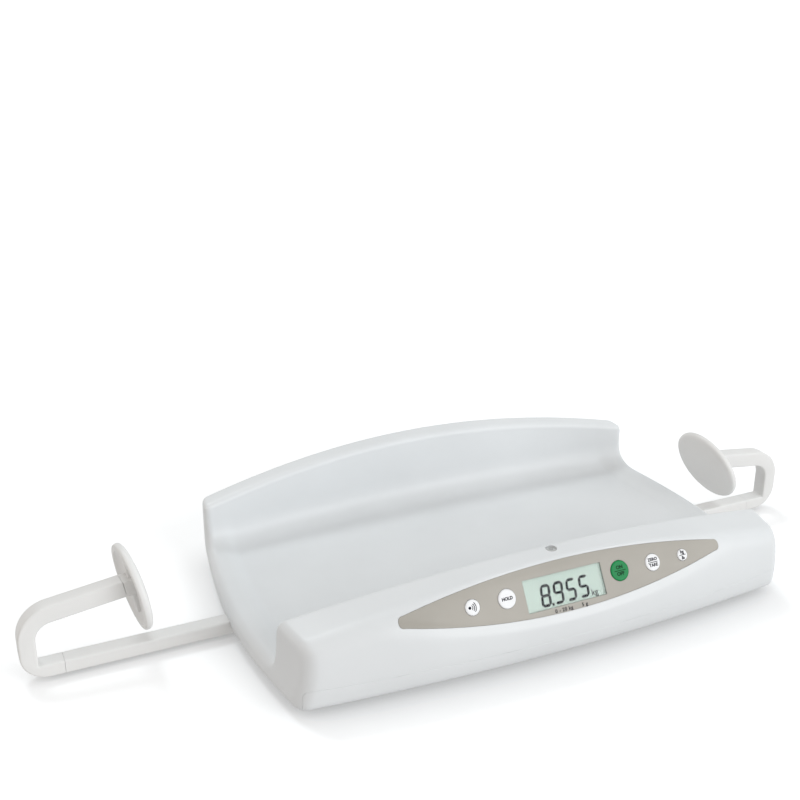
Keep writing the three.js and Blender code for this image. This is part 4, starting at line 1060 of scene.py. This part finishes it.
# %% [markdown]
# ## The level
# A small round spirit level sits in the top of the front rail. It is one turned piece with a
# raised rim and a sunk glass. A fine printed ring on the glass marks the middle.

# %% The level and its ring
rim, cup, lip, depth = level["rim"], level["cup"], level["thickness"], level["depth"]
glass, glass_drop = rim - lip, 0.15
outer_edge, inner_edge = 0.5, 0.3
profile = [(0, -depth), (cup, -depth), (cup, -lip), (rim, -lip)]
profile += turn((rim, -outer_edge), (rim, 0), (rim - outer_edge, 0), 4)
profile += turn((glass + inner_edge, 0), (glass, 0), (glass, -inner_edge), 4)
profile += turn((glass, -2 * inner_edge), (glass / 2, -glass_drop), (0, -glass_drop), 8)
vial = shifted(turned(profile, 48), (level["x"], level_y, level_z))
add_piece("level_glass", vial, "scale", "level", ["level_vial"])
ring_in, ring_out, low, high = 1.5, 1.8, -0.02, 0.03
ring = turned([(ring_in, low), (ring_out, low), (ring_out, high), (ring_in, high), (ring_in, low)], 32)
shifted(ring, (level["x"], level_y, level_z - glass_drop))
add_piece("level_ring", ring, "scale", "ink")

# %% [markdown]
# ## The measuring rods
# Each rod is a bar and a U-shaped grip that plug together; the fine line where they meet can
# be seen. Their edges have a small even radius. The grip's outline is drawn with rounded
# corners, made as wide as the bar, and then bevelled all round. Both ends use the same
# drawing, and the foot-end rod is turned by half a turn.

# %% Sizes of the grips and paddles
grip = dict(post=17, arm=18.2, arm_top=79.3, slope=math.radians(7.6), lower=27, upper=36, inner=18,
            corner=1.2)
paddle = dict(z=80.3, depth=5, turn=math.radians(6), stop=math.radians(9.5), radius=46, rim=8, dome=4.5,
              dish=5, dish_radius=39, rib=8, rib_length=62, rib_depth=3.5, rib_edge=1)
knuckle = dict(radius=4.4, top=12.9, tongue=6, pin=1.8, skin=1.4, edge=1.2)
rods = {
    "foot": dict(side=-1, reach=508.5, pivot=110.5, lean=math.radians(8.8)),
    "head": dict(side=1, reach=418.4, pivot=100.8, lean=math.radians(-23.5)),
}
rod_half = rod["width"] / 2
end_on = Matrix(((0, 0, 1, 0), (1, 0, 0, 0), (0, 1, 0, 0), (0, 0, 0, 1)))


def cross_post(radius, half):
    """A round bar from side to side through the pivot."""
    return placed(post(0, 0, radius, -half, half, 32), Matrix.Rotation(math.pi / 2, 4, "Y"))


def at_pivot(solid, reach, pivot, lean):
    """Carries what was drawn round the pivot to its place, leaning back by an angle."""
    matrix = Matrix.Translation((reach - pivot, 0, paddle["z"])) @ Matrix.Rotation(paddle["turn"], 4, "Z")
    matrix = matrix @ Matrix.Rotation(lean - math.pi / 2, 4, "Y") @ Matrix.Rotation(-math.pi / 2, 4, "Z")
    return placed(solid, matrix)


print("rods:", list(rods))

# %% The bar and the grip


def bar_solid(seam_x):
    """The bar, with the low stop on its inner end."""
    section = rounded_rectangle(rod["width"], rod["height"], rod["edge"], 0, rod["low"] + rod["height"] / 2)
    inner_x = seam_x - rod["bar"]
    bar = placed(plate(section, inner_x, seam_x - gap / 2), end_on)
    half = rod_half - 2 * rod["edge"]
    stop = block((inner_x, -half, bar_top - 2), (inner_x + rod["stop"], half, bar_top + rod["stop_rise"]))
    sharp = [e for e in stop.edges if len(e.link_faces) == 2 and e.calc_face_angle() > math.radians(50)]
    bevel(stop, sharp, 0.5, 2, clamp=True)
    return boolean(bar, [stop], "UNION")


def grip_solid(reach, pivot):
    """The U-shaped grip, with the tongue that the paddle's knuckle closes round."""
    seam_x, arm_x = reach - rod["seam"], reach - pivot
    thick = grip["arm"] / math.cos(grip["slope"])
    past_seam, past_arm, inner = seam_x - 12, arm_x - 24, reach - grip["post"]

    def top_at(x):
        return grip["arm_top"] + math.tan(grip["slope"]) * (reach - x)

    def at_stop(solid):
        return at_pivot(solid, reach, pivot, paddle["stop"])

    outline = rounded([
        (past_seam, rod["low"], 0),
        (reach, rod["low"], grip["lower"]),
        (reach, top_at(reach), grip["upper"]),
        (past_arm, top_at(past_arm), 0),
        (past_arm, top_at(past_arm) - thick, 0),
        (inner, top_at(inner) - thick, grip["inner"]),
        (inner, bar_top, grip["corner"]),
        (past_seam, bar_top, 0),
    ], 20)
    solid = placed(plate(outline, -rod_half, rod_half), Matrix.Rotation(math.pi / 2, 4, "X"))
    rims = [e for e in solid.edges if abs(abs(e.verts[0].co.y) - rod_half) < hair
            and abs(e.verts[0].co.y - e.verts[1].co.y) < hair]
    bevel(solid, rims, rod["edge"], 5)
    radius, tongue = knuckle["radius"], knuckle["tongue"] / 2
    beyond_seam = block((seam_x - 40, -rod_half - 3, 0), (seam_x + gap / 2, rod_half + 3, bar_top + 3))
    beyond_stop = at_stop(block((-60, -60, -radius - gap), (60, 60, 90)))
    solid = boolean(solid, [beyond_seam, beyond_stop])
    neck = block((-tongue, -radius, -radius - 3), (tongue, radius, 0))
    neck = boolean(neck, [cross_post(radius, tongue)], "UNION")
    solid = boolean(solid, [at_stop(neck)], "UNION")
    return boolean(solid, [at_stop(cross_post(knuckle["pin"] + gap, rod_half - knuckle["skin"]))])


# %% [markdown]
# ## The paddles
# The round plate is turned: a dome in front, a dish behind and a rounded rim. A rib runs
# down the dish, and in the middle stands the knuckle. Its outline has a flat back that meets
# the arm's end and a round foot below, so the plate can lean one way and is stopped the
# other way.

# %% The paddle


def paddle_solid():
    """The plate with its rib and its knuckle, drawn round the pivot."""
    rim = paddle["rim"] / 2
    middle, radius, dish_radius = paddle["depth"], paddle["radius"], paddle["dish_radius"]
    back, front_z = middle - rim, middle + rim
    dish_z, dome_z = back + paddle["dish"], front_z + paddle["dome"]
    shoulder = (radius - 2 * rim, front_z + paddle["dome"] / 4)
    profile = [(0, dish_z)]
    profile += turn((dish_radius / 2, dish_z), (dish_radius - rim, dish_z), (dish_radius, back), 12)
    profile += turn((radius - rim / 2, back), (radius, back), (radius, middle), 8)
    profile += turn((radius, middle), (radius, front_z), shoulder, 10)[1:]
    profile += turn(shoulder, (radius / 2, dome_z), (0, dome_z), 12)[1:]

    crest_z = dish_z - paddle["rib_depth"]
    rib_shape = rounded_rectangle(paddle["rib"], paddle["rib_length"], paddle["rib"] / 2 - 0.1, steps=10)
    rib = plate(rib_shape, crest_z, front_z)
    crest = [e for e in rib.edges if all(v.co.z < crest_z + hair for v in e.verts)]
    bevel(rib, crest, paddle["rib_edge"], 3)

    toe = knuckle["radius"]
    side = [(knuckle["top"], front_z), (knuckle["top"], -toe), (0, -toe)]
    quarter = [a / 12 * math.pi / 2 for a in range(1, 13)]
    side += [(-toe * math.sin(angle), -toe * math.cos(angle)) for angle in quarter]
    lump = placed(plate(side + [(-toe, front_z)], -rod_half, rod_half), end_on)
    rims = [e for e in lump.edges if e.calc_face_angle() > 1 and e.calc_length() < 30
            and max(v.co.z for v in e.verts) < front_z + 0.1
            and abs(e.verts[0].co.x - e.verts[1].co.x) < hair]
    bevel(lump, rims, knuckle["edge"], 4)

    solid = boolean(turned(profile, 96), [rib, lump], "UNION")
    slot_half, slot_radius = knuckle["tongue"] / 2 + run_gap, toe + run_gap
    slot = block((-slot_half, -slot_radius, -slot_radius - 3), (slot_half, slot_radius, 0))
    slot = boolean(slot, [cross_post(slot_radius, slot_half)], "UNION")
    return boolean(solid, [slot, cross_post(knuckle["pin"] + gap, rod_half - knuckle["skin"] + gap)])


# %% Both rods
for name, end in rods.items():
    place = Matrix.Translation((0, rod_y, 0)) @ Matrix.Rotation(0 if end["side"] > 0 else math.pi, 4, "Z")
    reach, pivot = end["reach"], end["pivot"]
    bar = placed(bar_solid(reach - rod["seam"]), place)
    add_piece(name + "_rod_bar", bar, name + "_rod", "rod_shell", [name + "_bar"])
    handle = placed(grip_solid(reach, pivot), place)
    add_piece(name + "_grip", handle, name + "_rod", "rod_shell", [name + "_handle"])
    disc = placed(at_pivot(paddle_solid(), reach, pivot, end["lean"]), place)
    add_piece(name + "_plate", disc, name + "_paddle", "rod_shell", [name + "_paddle"])

# %% [markdown]
# ## Feet and screws
# Each foot is a rubber pad in a plastic cup that hangs from a load cell. The screws have a
# cross recess. These are turned pieces that repeat, so a loop places each kind.

# %% The four feet
radius, top, edge = foot["pad"], foot["pad_top"], foot["edge"]
pad_profile = [(0, 0), (radius - 1, 0)] + turn((radius - edge, 0), (radius, 0), (radius, edge), 3)
pad_profile += [(radius, top), (0, top)]
seat, outer, low = radius + gap, foot["cup"], foot["cup_low"]
cup_profile = [(0, top + gap), (seat, top + gap), (seat, low), (outer - edge, low)]
cup_profile += turn((outer - edge, low), (outer, low), (outer, low + edge), 3)
cup_profile += [(outer, foot["cup_top"]), (foot["stub"], foot["cup_top"])]
cup_profile += [(foot["stub"], foot["stub_top"]), (0, foot["stub_top"])]
for name, (x, y) in feet.items():
    for kind, profile, finish in [("pad_", pad_profile, "rubber"), ("cup_", cup_profile, "dark")]:
        part = shifted(turned(profile, 48), (x, y, 0))
        add_piece(kind + name, part, "scale", finish, ["foot_" + kind + name])

# %% The six screws
screw_profile = [(0, 8.4)] + turn((2.6, 8.4), (3.3, 8.5), (3.4, 9.4), 4)
screw_profile += [(3.4, 10), (1.4, 10), (1.4, 22.6), (0, 23)]
cross_low, cross_high, cross_arms = 7, 9.2, [(2, 0.4), (0.4, 2)]
for name, (x, y) in screws.items():
    arms = [block((-a, -b, cross_low), (a, b, cross_high)) for a, b in cross_arms]
    screw = shifted(boolean(turned(screw_profile, 32), arms), (x, y, 0))
    add_piece("screw_" + name, screw, "scale", "steel", ["case_screw_" + name])

# %% [markdown]
# ## The pieces inside
# The board, the switches, the cells and the rest have plain true shapes in the model
# already. They only need their finishes, which follow the material slots of the record.

# %% Finish the pieces that stay
slots = {part["node"]: part["material_slot"] for part in frame["record"]["subparts"]}
for node, thing in frame["nodes"].items():
    thing.data.materials.clear()
    thing.data.materials.append(finishes[slots[node]])
print("finished:", len(slots), "nodes of the model")

# %% [markdown]
# ## The ground
# The ground is a wide pale floor. It takes the object's shadow as any floor does, and shows
# itself lighter to the camera alone, so that the picture's ground is white while no extra
# light falls on the scale. Close to the scale its colour is painted darker, as far as the
# space above it is hemmed in: this is painted shade along the lower edge. From below it is
# clear, and light reaches the underside through it, so that the base can be looked at too.

# %% The floor
floor_colour = (0.96, 0.975, 0.99, 1)
shade_reach, shade_power, camera_lift = 0.045, 0.4, 0.24
ground = bpy.data.materials.new("ground")
ground.use_nodes = True
tree = ground.node_tree
ray = tree.nodes.new("ShaderNodeLightPath")
side = tree.nodes.new("ShaderNodeNewGeometry")
# Painted shade: an ambient occlusion node darkens the floor's colour close to the scale.
near = add_node(tree, "AmbientOcclusion", {"Distance": shade_reach}, samples=16)
fade = add_node(tree, "Math", {0: near.outputs["AO"], 1: shade_power}, operation="POWER")
painted_shade_mix = {"Factor": fade.outputs[0], "A": (0, 0, 0, 1), "B": floor_colour}
lift = add_node(tree, "Math", {0: ray.outputs["Is Camera Ray"], 1: camera_lift}, operation="MULTIPLY")
above = add_node(tree, "Math", {0: 1, 1: side.outputs["Backfacing"]}, operation="SUBTRACT")
feed(tree, tree.nodes["Principled BSDF"], {
    "Base Color": add_node(tree, "Mix", painted_shade_mix, data_type="RGBA").outputs["Result"],
    "Roughness": 0.9,
    "Specular IOR Level": 0.1,
    "Alpha": above.outputs[0],
    "Emission Color": (1, 1, 1, 1),
    "Emission Strength": lift.outputs[0],
})
sheet = bmesh.new()
bmesh.ops.create_grid(sheet, x_segments=1, y_segments=1, size=40)
floor = link(bpy.data.objects.new("floor", mesh_of("floor", sheet)))
floor.data.materials.append(ground)
floor.visible_diffuse = False
floor.visible_shadow = False
print("the floor is", floor.dimensions.x, "m wide")
